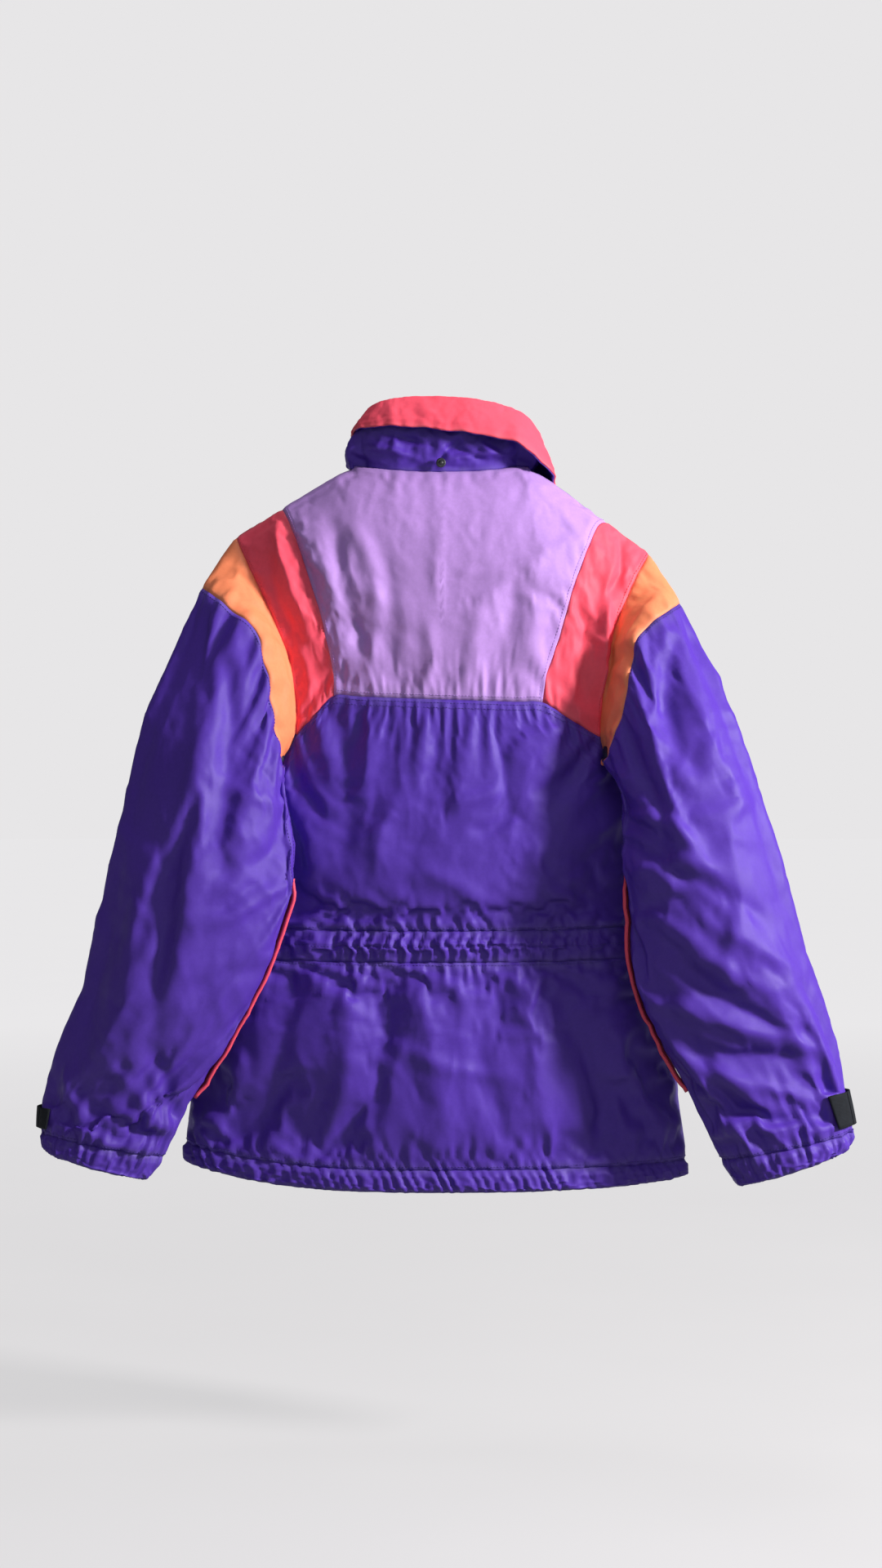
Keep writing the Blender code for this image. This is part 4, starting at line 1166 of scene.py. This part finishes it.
def build_torso():
    far, coral = BACK_COLUMNS, CORAL_COLUMN
    whole, skirt = (0, HEM_ROWS[1]), (CASING_ROWS[1], HEM_ROWS[0])
    yoke = (0, YOKE_ROW)
    back = (
        ("yoke", yoke, (coral, far - coral), "lilac_nylon", "yoke_shell"),
        ("coral_left", yoke, (0, coral), "coral_nylon", "coral_left_shell"),
        ("coral_right", yoke, (far - coral, far), "coral_nylon", "coral_right_shell"),
        ("body", (YOKE_ROW, CASING_ROWS[0]), (0, far), "purple_nylon", "body_shell"),
        ("casing", CASING_ROWS, (0, far), "purple_nylon", "waist_casing"),
        ("elastic", CASING_ROWS, (1, far - 1), "elastic", None),
        ("skirt", skirt, (0, far), "purple_nylon", "skirt_shell"),
        ("hem", HEM_ROWS, (0, far), "purple_nylon", "hem_band"),
        ("padding", whole, (0, far), "wadding", "wadding"),
        ("inside", whole, (0, far), "lining", "lining"),
    )
    front = (
        ("yoke", yoke, (coral, MIDDLE_COLUMN), "lilac_nylon", "yoke_shell"),
        ("coral", yoke, (0, coral), "coral_nylon", "coral_shell"),
        ("body", (YOKE_ROW, HEM_ROWS[0]), (0, MIDDLE_COLUMN), "purple_nylon", "body_shell"),
        ("hem", HEM_ROWS, (0, MIDDLE_COLUMN), "purple_nylon", "hem_band"),
        ("padding", whole, (0, MIDDLE_COLUMN), "wadding", "wadding"),
        ("inside", whole, (0, MIDDLE_COLUMN), "lining", "lining"),
    )
    for surface_name, table in (("back", back), ("front_left", front), ("front_right", front)):
        for name, rows, columns, look, node in table:
            node = f"{surface_name}_{node}" if node else "waist_elastic"
            made = panel(f"{surface_name}_{name}", surface_name, rows, columns, look, "torso", node)


def build_sleeves():
    last = CUFF_RINGS[1]
    for side_name in SIDES:
        for name, rows, look, node in (
            ("top", SLEEVE_CAP_RINGS, "orange_nylon", "cap"),
            ("arm", SLEEVE_RINGS, "purple_nylon", "shell"),
            ("hem", CUFF_RINGS, "purple_nylon", "cuff_band"),
            ("padding", (1, last), "wadding", "wadding"),
            ("inside", (0, last), "lining", "lining"),
        ):
            prefix = f"sleeve_{side_name}_"
            made = sleeve_panel(prefix + name, side_name, rows, look, prefix + node)


# The collar

COLLAR_STEPS = 260
# Keyed along the neck seam from the left front edge round the back to the right front edge:
# share of the seam, then x, y, z of the ridge that the facing turns over
COLLAR_RIDGE = (
    (0.00, -0.014, 0.100, -0.022), (0.08, -0.050, 0.094, -0.004), (0.17, -0.082, 0.066, 0.018),
    (0.25, -0.091, 0.032, 0.036), (0.31, -0.0885, 0.006, 0.051), (0.37, -0.074, -0.008, 0.068),
    (0.43, -0.052, -0.013, 0.0765), (0.50, -0.011, -0.015, 0.0795), (0.58, 0.037, -0.014, 0.0765),
    (0.655, 0.078, -0.004, 0.067), (0.70, 0.096, 0.010, 0.054), (0.75, 0.104, 0.030, 0.036),
    (0.83, 0.088, 0.064, 0.016), (0.92, 0.052, 0.094, -0.006), (1.00, 0.014, 0.100, -0.022),
)
# The same for the free lower edge of the turned-over facing
COLLAR_EDGE = (
    (0.00, -0.015, 0.107, -0.040), (0.08, -0.052, 0.101, -0.020), (0.17, -0.080, 0.069, 0.010),
    (0.25, -0.0895, 0.036, 0.0300), (0.31, -0.0915, 0.000, 0.0455), (0.37, -0.077, -0.022, 0.0465),
    (0.43, -0.050, -0.030, 0.0475), (0.50, -0.010, -0.034, 0.0440), (0.58, 0.032, -0.034, 0.0390),
    (0.645, 0.074, -0.032, 0.0315), (0.70, 0.098, -0.022, 0.0165), (0.76, 0.1195, 0.002, -0.0030),
    (0.83, 0.112, 0.056, -0.018), (0.92, 0.060, 0.104, -0.042), (1.00, 0.015, 0.110, -0.052),
)
COLLAR_FOLDS = (
    ((-0.080, 0.030), (-0.020, 0.014), 0.0040, 0.0030),
    ((-0.060, 0.040), (-0.010, 0.030), 0.0035, -0.0030),
    ((0.006, 0.012), (0.060, 0.024), 0.0035, 0.0032),
    ((0.010, 0.026), (0.052, 0.012), 0.0030, -0.0030),
    ((-0.005, 0.010), (0.020, 0.036), 0.0032, -0.0026),
    ((0.040, 0.030), (0.086, 0.006), 0.0036, 0.0030),
    ((-0.030, 0.008), (0.030, 0.004), 0.0024, -0.0026),
    ((-0.092, 0.022), (-0.070, 0.004), 0.0035, -0.0026),
    ((0.060, 0.016), (0.090, 0.012), 0.0030, -0.0026),
)


def keyed_curve(keys, shares):
    """A smooth curve through keyed points, read at the given shares."""
    keys = np.array(keys)
    dense = spline(keys, 24)
    return np.stack([np.interp(shares, dense[:, 0], dense[:, k]) for k in (1, 2, 3)], axis=-1)


def neck_line():
    """The neck seam's fine points from the left front edge round the back to the right front edge."""
    neck = NECK_COLUMN * FINE
    left, right = SURFACES["front_left"][0][0, neck:], SURFACES["front_right"][0][0, neck:]
    back = SURFACES["back"][0][0, neck : 2 * MIDDLE_COLUMN * FINE - neck + 1]
    return np.concatenate([left[::-1], back[1:-1], right])


def resample(line, count):
    """The same line with evenly spaced points, and the share of the length at each."""
    length = np.concatenate([[0.0], np.cumsum(np.linalg.norm(np.diff(line, axis=0), axis=1))])
    shares = np.linspace(0.0, 1.0, count)
    return np.stack([np.interp(shares * length[-1], length, line[:, k]) for k in range(3)], axis=-1), shares


def sheet_normals(points):
    """Normals of an open grid of points."""
    along, up = np.gradient(points, axis=1), np.gradient(points, axis=0)
    normal = np.cross(along, up)
    return normal / np.maximum(np.linalg.norm(normal, axis=-1), 1e-12)[..., None]


def outward_along(neck, window=25):
    """Level directions out of the collar, smoothed along the neck seam."""
    along = np.gradient(neck, axis=0)
    out = np.stack([along[:, 1], -along[:, 0], np.zeros(len(along))], axis=-1)
    padded = np.pad(out, ((window // 2, window // 2), (0, 0)), "edge")
    out = np.stack([np.convolve(padded[:, k], np.hanning(window), "valid") for k in range(3)], axis=-1)
    return out / np.linalg.norm(out, axis=1)[:, None]


def build_collar_stand(neck, ridge, out, shares):
    """The purple stand, from the neck seam up to the ridge that the facing turns over."""
    foot = neck + 0.0012 * out - (0.0, 0.0, 0.0010)
    bulge = 0.0050 + 0.0050 * near(shares, 0.25, 0.07) + 0.0060 * near(shares, 0.70, 0.05)
    bulge += 0.0012 * wave(shares * 17, 31)
    low = between(neck, ridge, 0.30) + bulge[:, None] * out
    high = between(neck, ridge, 0.66) + (bulge * 0.8)[:, None] * out
    top = ridge - 0.0030 * out - (0.0, 0.0, 0.0035)
    stand = spline(np.array([foot, low, high, top]), 12)
    normal = sheet_normals(stand)
    height = 1.5 * folds(stand, COLLAR_FOLDS) * (stand[..., 1] < 0.03)
    height += crumple(stand, 0.0024, 34.0, 5) + crumple(stand, 0.0009, 90.0, 6)
    fade = np.sin(np.linspace(0.0, math.pi, len(stand))) ** 0.6
    stand += normal * (height * fade[:, None])[..., None]
    sheet_piece("collar_outer", stand, sheet_normals(stand), False, (0.0, 0.0030), "purple_nylon", "torso",
                ["collar_stand"])


def build_collar_facing(neck, ridge, out, shares):
    """The coral facing: up inside the stand, over the ridge and down outside. A purple sheet under its
    turned-over part is painted shade that darkens where the coral underside shows.
    """
    inner_foot = neck - 0.0075 * out + (0.0, 0.0, 0.0012)
    inner_low = between(neck, ridge, 0.45) - 0.0045 * out
    inner_top = ridge - 0.0062 * out - (0.0, 0.0, 0.0055)
    edge = keyed_curve(COLLAR_EDGE, shares)
    way = edge - ridge
    over = ridge + 0.10 * way + 0.0018 * out
    mid = ridge + 0.52 * way + 0.0026 * out
    facing = spline(np.array([inner_foot, inner_low, inner_top, ridge, over, mid, edge]), 8)
    across_line = np.linspace(0.0, 6.0, len(facing))
    ripple = 0.0005 * wave(shares * 26, 33) + 0.0012 * wave(shares * 9, 34)
    weight = smooth(across_line, 3.6, 6.0)
    facing += out[None] * (ripple[None] * weight[:, None])[..., None]
    facing[..., 2] += 0.0008 * wave(shares * 14, 35)[None] * weight[:, None]
    normal = sheet_normals(facing)
    facing += normal * (crumple(facing, 0.0009, 40.0, 7) + crumple(facing, 0.0004, 110.0, 8))[..., None]
    facing -= sheet_normals(facing) * (0.0007 * near(across_line, 5.55, 0.10))[:, None, None]
    sheet_piece("collar_turnover", facing, sheet_normals(facing), True, (0.0, -0.0016), "coral_nylon",
                "torso", ["collar_facing"])
    # purple sheet under the turned-over facing: painted shade, darkening the coral underside seen below the
    # flap's edge
    turned_over = facing[across_line > 3.3]
    sheet_piece("collar_underside_painted_shade", turned_over, sheet_normals(turned_over), True, (-0.0017, -0.0029),
                "purple_nylon", "torso")


def build_collar():
    neck, shares = resample(neck_line(), COLLAR_STEPS)
    ridge = keyed_curve(COLLAR_RIDGE, shares)
    out = outward_along(neck)
    build_collar_stand(neck, ridge, out, shares)
    build_collar_facing(neck, ridge, out, shares)


# Thread, cords and small parts


def tube(path, radius, sides=8, squash=1.0):
    """Points and faces of a closed tube along a path."""
    path = np.asarray(path, float)
    tangent = np.gradient(path, axis=0)
    tangent /= np.linalg.norm(tangent, axis=1)[:, None]
    helper = np.array((0.0, 1.0, 0.0))
    side = np.cross(tangent, helper)
    side /= np.linalg.norm(side, axis=1)[:, None]
    up = np.cross(side, tangent)
    angles = math.tau * np.arange(sides) / sides
    rings = [path + radius * (math.cos(a) * side + squash * math.sin(a) * up) for a in angles]
    points = np.stack(rings, axis=1)
    faces = [tuple(f) for f in grid_faces(len(path), sides, True)]
    faces.append(tuple(range(sides)))
    faces.append(tuple(range((len(path) - 1) * sides, len(path) * sides))[::-1])
    return points.reshape(-1, 3), faces


STITCH_PITCH = 0.0034
STITCH_LENGTH = 0.0025
STITCH_RADIUS = 0.00028
# Sections of one stitch: share of its length, share of its radius, height in radii
STITCH_SECTIONS = ((0.0, 0.25, -0.6), (0.2, 1.0, 0.45), (0.8, 1.0, 0.45), (1.0, 0.25, -0.6))
POINTS_IN_STITCH = 16


def lozenge(first, sections):
    """Faces of a closed body with four points in each section, from a first point's number."""
    faces = []
    for k in range(sections - 1):
        for c in range(4):
            a, b = first + 4 * k + c, first + 4 * k + (c + 1) % 4
            faces.append((a, b, b + 4, a + 4))
    end = first + 4 * (sections - 1)
    return [*faces, (first + 3, first + 2, first + 1, first), (end, end + 1, end + 2, end + 3)]


def stitches(points, normals):
    """Separate thread stitches along a line: each is a short lozenge pressed into the cloth."""
    length = np.concatenate([[0.0], np.cumsum(np.linalg.norm(np.diff(points, axis=0), axis=1))])

    def at(values, where):
        return np.stack([np.interp(where, length, values[:, k]) for k in range(3)], axis=-1)

    found, faces = [], []
    for start in np.arange(STITCH_PITCH / 2, length[-1] - STITCH_LENGTH, STITCH_PITCH):
        faces += lozenge(len(found), len(STITCH_SECTIONS))
        for share, width, lift in STITCH_SECTIONS:
            where = start + share * STITCH_LENGTH
            centre, normal = at(points, where), at(normals, where)
            normal /= np.linalg.norm(normal)
            along = at(points, where + 0.0004) - at(points, where - 0.0004)
            side = np.cross(along, normal)
            side /= max(np.linalg.norm(side), 1e-12)
            middle = centre + normal * STITCH_RADIUS * lift
            for a, b in ((1, 0), (0, 1), (-1, 0), (0, -1)):
                found.append(middle + STITCH_RADIUS * width * (a * side + b * normal))
    return found, faces


def joined(parts):
    """Points and faces of several bodies as one."""
    points, faces = [], []
    for more_points, more_faces in parts:
        shift = len(points)
        points += [tuple(p) for p in more_points]
        faces += [tuple(i + shift for i in f) for f in more_faces]
    return points, faces


def surface_line(name, by_row, line, low, high, beside):
    """Points and normals along a grid line between two other lines, moved to one side by a distance."""
    grid, normals = SURFACES[name]
    if by_row and WRAPPED[name]:
        grid, normals = (np.concatenate([a, a[:, :1]], axis=1) for a in (grid, normals))
    if not by_row:
        grid, normals = np.swapaxes(grid, 0, 1), np.swapaxes(normals, 0, 1)
    index = int(round(line * FINE))
    part = slice(int(low * FINE), int(high * FINE) + 1)
    here, normal = grid[index, part], normals[index, part]
    way = grid[(index + (1 if beside > 0 else -1)) % len(grid), part] - here
    way /= np.maximum(np.linalg.norm(way, axis=1), 1e-9)[:, None]
    return here + way * abs(beside) + normal * 0.0002, normal


def stitched(name, lines, look, side_name=None):
    """Stitching on the torso, or on a sleeve, where it is made on no body like the sleeve's layers."""
    parts, follow = [], []
    for surface, by_row, line, low, high, beside in lines:
        points, faces = stitches(*surface_line(surface, by_row, line, low, high, beside))
        parts.append((points, faces))
        count = len(points) // POINTS_IN_STITCH
        along = low + (high - low) * np.repeat(np.linspace(0.0, 1.0, count), POINTS_IN_STITCH)
        across_it = np.full(len(along), line)
        rings, columns = (across_it, along) if by_row else (along, across_it)
        follow.append(ring_follow(rings + (beside > 0) * 0.05, columns))
    body = None if side_name else "torso"
    made = piece(name, *joined(parts), look, body, slot="purple_nylon")
    if side_name:
        bend_with_sleeve(made)


def build_stitching():
    """Each line: surface, along a row or a column, its number, from, to, distance beside it."""
    far, coral_line, yoke, hem = BACK_COLUMNS, CORAL_COLUMN, YOKE_ROW, HEM_ROWS[0]
    casing_top, casing_end = CASING_ROWS
    lilac = [
        ("back", True, yoke, coral_line, far - coral_line, -0.0045),
        ("back", False, coral_line, 0, yoke, 0.0040),
        ("back", False, far - coral_line, 0, yoke, -0.0040),
    ]
    purple = [
        ("back", True, yoke, 0, far, 0.0035),
        ("back", True, yoke, 0, far, 0.0085),
        ("back", True, casing_top, 0, far, -0.0030),
        ("back", True, casing_end, 0, far, 0.0030),
        ("back", True, (casing_top + casing_end) / 2, 0, far, 0.0004),
        ("back", True, hem, 0, far, -0.0035),
    ]
    coral = [("back", False, 0, 0.1, yoke, 0.0035), ("back", False, far, 0.1, yoke, -0.0035)]
    for side_name in SIDES:
        front = "front_" + side_name
        lilac.append((front, True, yoke, coral_line, MIDDLE_COLUMN, -0.0045))
        lilac.append((front, False, coral_line, 0, yoke, 0.0040))
        coral.append((front, False, 0, 0.1, yoke, 0.0035))
        purple.append((front, True, yoke, 0, MIDDLE_COLUMN, 0.0035))
        purple.append((front, True, hem, 0, MIDDLE_COLUMN, -0.0035))
        purple.append((front, False, MIDDLE_COLUMN, 0.2, 12.9, -0.0060))
        sleeve = "sleeve_" + side_name
        lines = [
            (sleeve, True, SLEEVE_CAP_RINGS[1], 0, RING_POINTS, 0.0035),
            (sleeve, True, CUFF_RINGS[0], 0, RING_POINTS, -0.0035),
            (sleeve, False, 5.78, 2.3, 5.0, 0.0002),
            (sleeve, False, 5.42, 2.3, 5.0, 0.0002),
        ]
        stitched(f"sleeve_{side_name}_stitching", lines, "thread_purple", side_name)
    stitched("yoke_stitching", lilac, "thread_lilac")
    stitched("body_stitching", purple, "thread_purple")
    stitched("shoulder_stitching", coral, "thread_coral")


PIPING_RADIUS = 0.0019
PIPING_RINGS = (4.6, 8.15)


def build_piping(side_name):
    """Corded edge along the sleeve's inner fold, with the narrow flange that it is sewn in by. The flange is
    in a darkened coral: painted shade beside the cord.
    """
    sleeve = "sleeve_" + side_name
    grid, normals = SURFACES[sleeve]
    inner = RING_POINTS // 2 * FINE
    rows = slice(int(PIPING_RINGS[0] * FINE), int(PIPING_RINGS[1] * FINE) + 1)
    seam, out = grid[rows, inner], normals[rows, inner]
    count = len(seam)
    taper = smooth(np.arange(count), 0, 6) * (1.0 - smooth(np.arange(count), count - 5, count - 1) * 0.6)
    cord = seam + out * (0.0044 * taper)[:, None] - np.array((0.0, 0.0016, 0.0))
    piece(sleeve + "_cord", *tube(cord, PIPING_RADIUS, 10), "coral_nylon", sleeve, [sleeve + "_piping"])
    flange = seam + out * (0.0022 * taper)[:, None] + np.array((0.0, 0.0010, 0.0))
    # the flange is in darkened coral: painted shade of the coral panel beside the cord
    piece(sleeve + "_flange", *tube(flange, PIPING_RADIUS, 8, 0.45), "coral_dark", sleeve, slot="coral_nylon")


TOOTH_PITCH = 0.0026
TOOTH_HALF_HEIGHT = 0.0008
# Sections of a tooth: distance from the middle, share of its height
TOOTH_SECTIONS = ((0.0002, 0.6), (0.0014, 1.0), (0.0034, 0.8))
TOOTH_OUTLINE = ((0.0, -1.0), (0.0009, -0.75), (0.0009, 0.75), (0.0, 1.0))


def zip_teeth():
    """Moulded teeth on both tapes of the front zip, closed, those of one side between those of the other."""
    for name, sign in (("left", -1), ("right", 1)):
        low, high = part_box("zip_" + name)
        front = high[1] + 0.0001
        points, faces = [], []
        z = low[2] + 0.006 + (0.0 if sign < 0 else TOOTH_PITCH / 2)
        while z < high[2] - 0.004:
            faces += lozenge(len(points), len(TOOTH_SECTIONS))
            for x, share in TOOTH_SECTIONS:
                for dy, dz in TOOTH_OUTLINE:
                    points.append((sign * x, front + dy, z + dz * TOOTH_HALF_HEIGHT * share))
            z += TOOTH_PITCH
        if sign > 0:
            faces = [f[::-1] for f in faces]
        piece("zip_teeth_" + name, points, faces, "black_plastic", "torso", smooth_faces=False)


def turned(name, centre, profile, body, facing, node, sides=40):
    """A turned plastic button from a profile of (distance towards the viewer, radius), facing -Y or +Y."""
    cx, cy, cz = centre
    points = []
    for forward, radius in profile:
        for angle in math.tau * np.arange(sides) / sides:
            y = cy + facing * forward
            points.append((cx + radius * math.cos(angle), y, cz + radius * math.sin(angle)))
    faces = [tuple(f) for f in grid_faces(len(profile), sides, True)]
    faces.append(tuple(range(sides)))
    faces.append(tuple(range((len(profile) - 1) * sides, len(profile) * sides))[::-1])
    if facing > 0:
        faces = [f[::-1] for f in faces]
    piece(name, points, faces, "black_plastic", body, [node])


STRAP_HEIGHTS = (0.0036, 0.0054)
FLAP_THICKNESS = 0.0016


def strap_sheet(side_name, start, end):
    """Grid of points of a cuff strap between two angles, over the smoothed sleeve, with a normal at each."""
    grid, normals = SURFACES["sleeve_" + side_name]
    low, high = (int(ring * FINE) for ring in TAB_RINGS)
    per_degree = RING_POINTS * FINE / 360.0
    columns = np.arange(round(end * per_degree), round(start * per_degree) + 1)
    rings = np.arange(low, high + 1)

    def evened_round(values):
        """Averaged with the columns on both sides."""
        return np.mean([values[rings][:, (columns + k) % values.shape[1]] for k in range(-6, 7)], axis=0)

    points = evened_round(grid)
    middle, slope = points[[0, -1]].mean(axis=0), (points[-1] - points[0]) / 2
    points = middle + np.linspace(-1.0, 1.0, len(rings))[:, None, None] * slope
    normal = evened_round(normals).mean(axis=0)
    normal /= np.linalg.norm(normal, axis=-1)[:, None]
    return points, np.broadcast_to(normal, points.shape).copy()


def rounded_end(count):
    """Share of the strap's width at each column: narrower over the free end's last eighth."""
    past = ((0.12 - np.linspace(0.0, 1.0, count)) / 0.12).clip(0.0)
    return np.sqrt(np.clip(1.0 - past**2, 0.02, 1.0))


def build_straps():
    """The cuff straps: the sewn end on the sleeve, and the tab that peels from its hinge line."""
    for side_name in SIDES:
        sewn, hinge, free = TAB_DEGREES[side_name]
        sleeve, tab = f"sleeve_{side_name}", f"cuff_tab_{side_name}"
        for name, start, end, body, replaced in (
            ("cuff_strap_", hinge - 1, free, tab, [tab]),
            ("cuff_strap_end_", sewn, hinge + 1.2, sleeve, []),
        ):
            points, normal = strap_sheet(side_name, start, end)
            if replaced:
                middle = points.mean(axis=0)
                points = middle + (points - middle) * rounded_end(points.shape[1])[None, :, None]
            lift = STRAP_HEIGHTS[1] + 0.0003 * np.cos(np.linspace(-1.2, 1.2, len(points)))[:, None, None]
            sheet_piece(name + side_name, points + normal * lift, normal, FLIPPED[sleeve],
                        (0.0, STRAP_HEIGHTS[1] - STRAP_HEIGHTS[0]), "black_tape", body, replaced)


def build_storm_flap():
    """The padded flap over the zip, stitched round its free edges."""
    rows, columns = 240, 48
    low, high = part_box("storm_flap")
    x = np.linspace(low[0] + 0.001, high[0], columns)[None, :] + np.zeros((rows, 1))
    z = np.linspace(high[2], low[2], rows)[:, None] + np.zeros((1, columns))
    raised = smooth(x, low[0] + 0.001, low[0] + 0.018)
    y = between(FRONT_Y + 0.0036, high[1], raised)
    edge = np.minimum(np.minimum(high[2] - z, z - low[2]), high[0] - x)
    y = y - 0.0016 * near(edge, 0.0, 0.0014) - 0.0007 * near(edge, 0.0065, 0.0011)
    y = y + 0.0006 * smooth(edge, 0.007, 0.012) * (1.0 + wave(z / 0.045, 41) * 0.6)
    top = np.stack([x, y, z], axis=-1)
    top[..., 1] += 0.5 * crumple(top, 0.0008, 30.0, 42) * smooth(edge, 0.0, 0.004)
    forward = np.broadcast_to((0.0, 1.0, 0.0), top.shape)
    sheet_piece("storm_flap_cover", top, forward, False, (0.0, FLAP_THICKNESS), "purple_nylon", "storm_flap",
                ["storm_flap"])
    inset_x, inset_z = round(columns * 0.913), 3
    parts = []
    for line in (top[:, inset_x], top[inset_z, 4:inset_x], top[-1 - inset_z, 4:inset_x]):
        parts.append(stitches(line + (0.0, 0.0002, 0.0), np.broadcast_to((0.0, 1.0, 0.0), line.shape)))
    piece("storm_flap_stitching", *joined(parts), "thread_purple", "storm_flap", slot="purple_nylon")


SNAP_PROFILE = ((-0.0016, 0.0046), (-0.0002, 0.0050), (0.0006, 0.0050), (0.0012, 0.0044), (0.0014, 0.0034),
                (0.0010, 0.0028), (0.0010, 0.0022), (0.0024, 0.0019), (0.0028, 0.0012), (0.0029, 0.0003))
CAP_PROFILE = ((-0.0010, 0.0060), (0.0, 0.0068), (0.0008, 0.0068), (0.0016, 0.0060), (0.0019, 0.0048),
               (0.0016, 0.0040), (0.0018, 0.0024), (0.0020, 0.0004))


def build_snaps():
    low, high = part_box("hood_snap")
    x, _, z = (low + high) / 2
    turned("collar_snap", (x, low[1] + 0.0012, z), SNAP_PROFILE, "torso", -1.0, "hood_snap")
    for number in (1, 2, 3):
        node = f"flap_snap_cap_{number}"
        low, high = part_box(node)
        turned(f"flap_cap_{number}", (low + high) / 2, CAP_PROFILE, "storm_flap", 1.0, node)


# The camera, the lights and the floor

BACKGROUND = (0.80, 0.79, 0.80)
FLOOR_Z = -1.02
FLOOR_REACH = 30.0
CAMERA_DISTANCE = 2.60
CAMERA_Z = -0.321
FRAME_HEIGHT = 1.594  # height of what the camera sees at the jacket
IMAGE_SHAPE = 1080 / 1920


def aim(thing, target):
    """Turns a light or the camera towards a place."""
    way = Vector(target) - thing.location
    thing.rotation_euler = way.to_track_quat("-Z", "Y").to_euler()


def area_light(name, place, target, size, power, colour=(1.0, 1.0, 1.0)):
    """A rectangular light, aimed at a place."""
    light = bpy.data.lights.new(name, "AREA")
    light.shape = "RECTANGLE"
    light.size, light.size_y = size
    light.energy = power
    light.color = colour
    made = bpy.data.objects.new(name, light)
    bpy.context.scene.collection.objects.link(made)
    made.location = place
    aim(made, target)


def build_floor():
    """A wide pale floor some way under the jacket."""
    made, tree, shader = node_material("floor_paint", (0.16, 0.155, 0.16), 0.9)
    where = object_coordinates(tree)
    shade = patches(tree, where, 2.0, 3.0, 0.3, 0.7)
    set_tones(tree, shader, shade, (0.15, 0.146, 0.15), (0.17, 0.166, 0.17))
    shader.inputs["Emission Color"].default_value = (*BACKGROUND, 1.0)
    middle = tree.nodes.new("ShaderNodeVectorMath")
    middle.operation = "LENGTH"
    tree.links.new(where, middle.inputs[0])
    far = remap(tree, middle.outputs["Value"], 0.5, 5.0)
    tree.links.new(remap(tree, far, 0.0, 1.0, 0.72, 0.97), shader.inputs["Emission Strength"])
    corners = [(FLOOR_REACH * x, FLOOR_REACH * y, FLOOR_Z) for x, y in ((-1, -1), (1, -1), (1, 1), (-1, 1))]
    mesh = bpy.data.meshes.new("floor")
    mesh.from_pydata(corners, [], [(0, 1, 2, 3)])
    mesh.materials.append(made)
    floor = bpy.data.objects.new("floor", mesh)
    bpy.context.scene.collection.objects.link(floor)
    floor.visible_diffuse = False


def build_camera():
    camera = bpy.data.cameras.new("camera")
    camera.sensor_fit = "VERTICAL"
    camera.sensor_height = 36.0
    camera.sensor_width = camera.sensor_height * IMAGE_SHAPE
    camera.lens = camera.sensor_height / FRAME_HEIGHT * CAMERA_DISTANCE
    made = bpy.data.objects.new("camera", camera)
    bpy.context.scene.collection.objects.link(made)
    made.location = (0.0, BACK_Y - CAMERA_DISTANCE, CAMERA_Z)
    aim(made, (0.0, BACK_Y, CAMERA_Z))
    bpy.context.scene.camera = made


def build_lights():
    area_light("key", (2.35, -1.10, 0.55), (0.05, 0.0, -0.30), (0.35, 0.45), 122.0, (1.0, 0.97, 0.95))
    area_light("fill", (0.3, -3.0, 1.1), (0.0, 0.0, -0.2), (1.8, 1.8), 15.0, (0.90, 0.93, 1.0))
    area_light("top", (0.4, 0.0, 1.9), (0.0, 0.0, -0.3), (1.2, 1.0), 12.0)
    area_light("behind", (0.0, 3.0, 0.9), (0.0, 0.0, -0.2), (0.1, 0.1), 0.1)
    world = bpy.data.worlds.new("room")
    world.use_nodes = True
    tree = world.node_tree
    lit = tree.nodes["Background"]
    lit.inputs["Color"].default_value = (0.95, 0.96, 1.0, 1.0)
    lit.inputs["Strength"].default_value = 0.14
    seen = tree.nodes.new("ShaderNodeBackground")
    seen.inputs["Color"].default_value = (*BACKGROUND, 1.0)
    rays = tree.nodes.new("ShaderNodeLightPath")
    mixed = tree.nodes.new("ShaderNodeMixShader")
    tree.links.new(rays.outputs["Is Camera Ray"], mixed.inputs[0])
    tree.links.new(lit.outputs[0], mixed.inputs[1])
    tree.links.new(seen.outputs[0], mixed.inputs[2])
    tree.links.new(mixed.outputs[0], tree.nodes["World Output"].inputs["Surface"])
    bpy.context.scene.world = world


def dress_cad_nodes():
    """Gives the CAD nodes that stay visible the look of their material slot."""
    for part in frame["record"]["subparts"]:
        node = frame["nodes"][part["node"]]
        if not node.hide_render:
            node.data.materials.clear()
            node.data.materials.append(LOOKS[part["material_slot"]])


build_camera()
build_lights()
build_floor()
SURFACES = shaped_surfaces()
build_torso()
build_sleeves()
build_collar()
build_stitching()
build_snaps()
build_straps()
build_storm_flap()
zip_teeth()
for side in SIDES:
    build_piping(side)

dress_cad_nodes()

bpy.context.scene.view_settings.view_transform = "Standard"
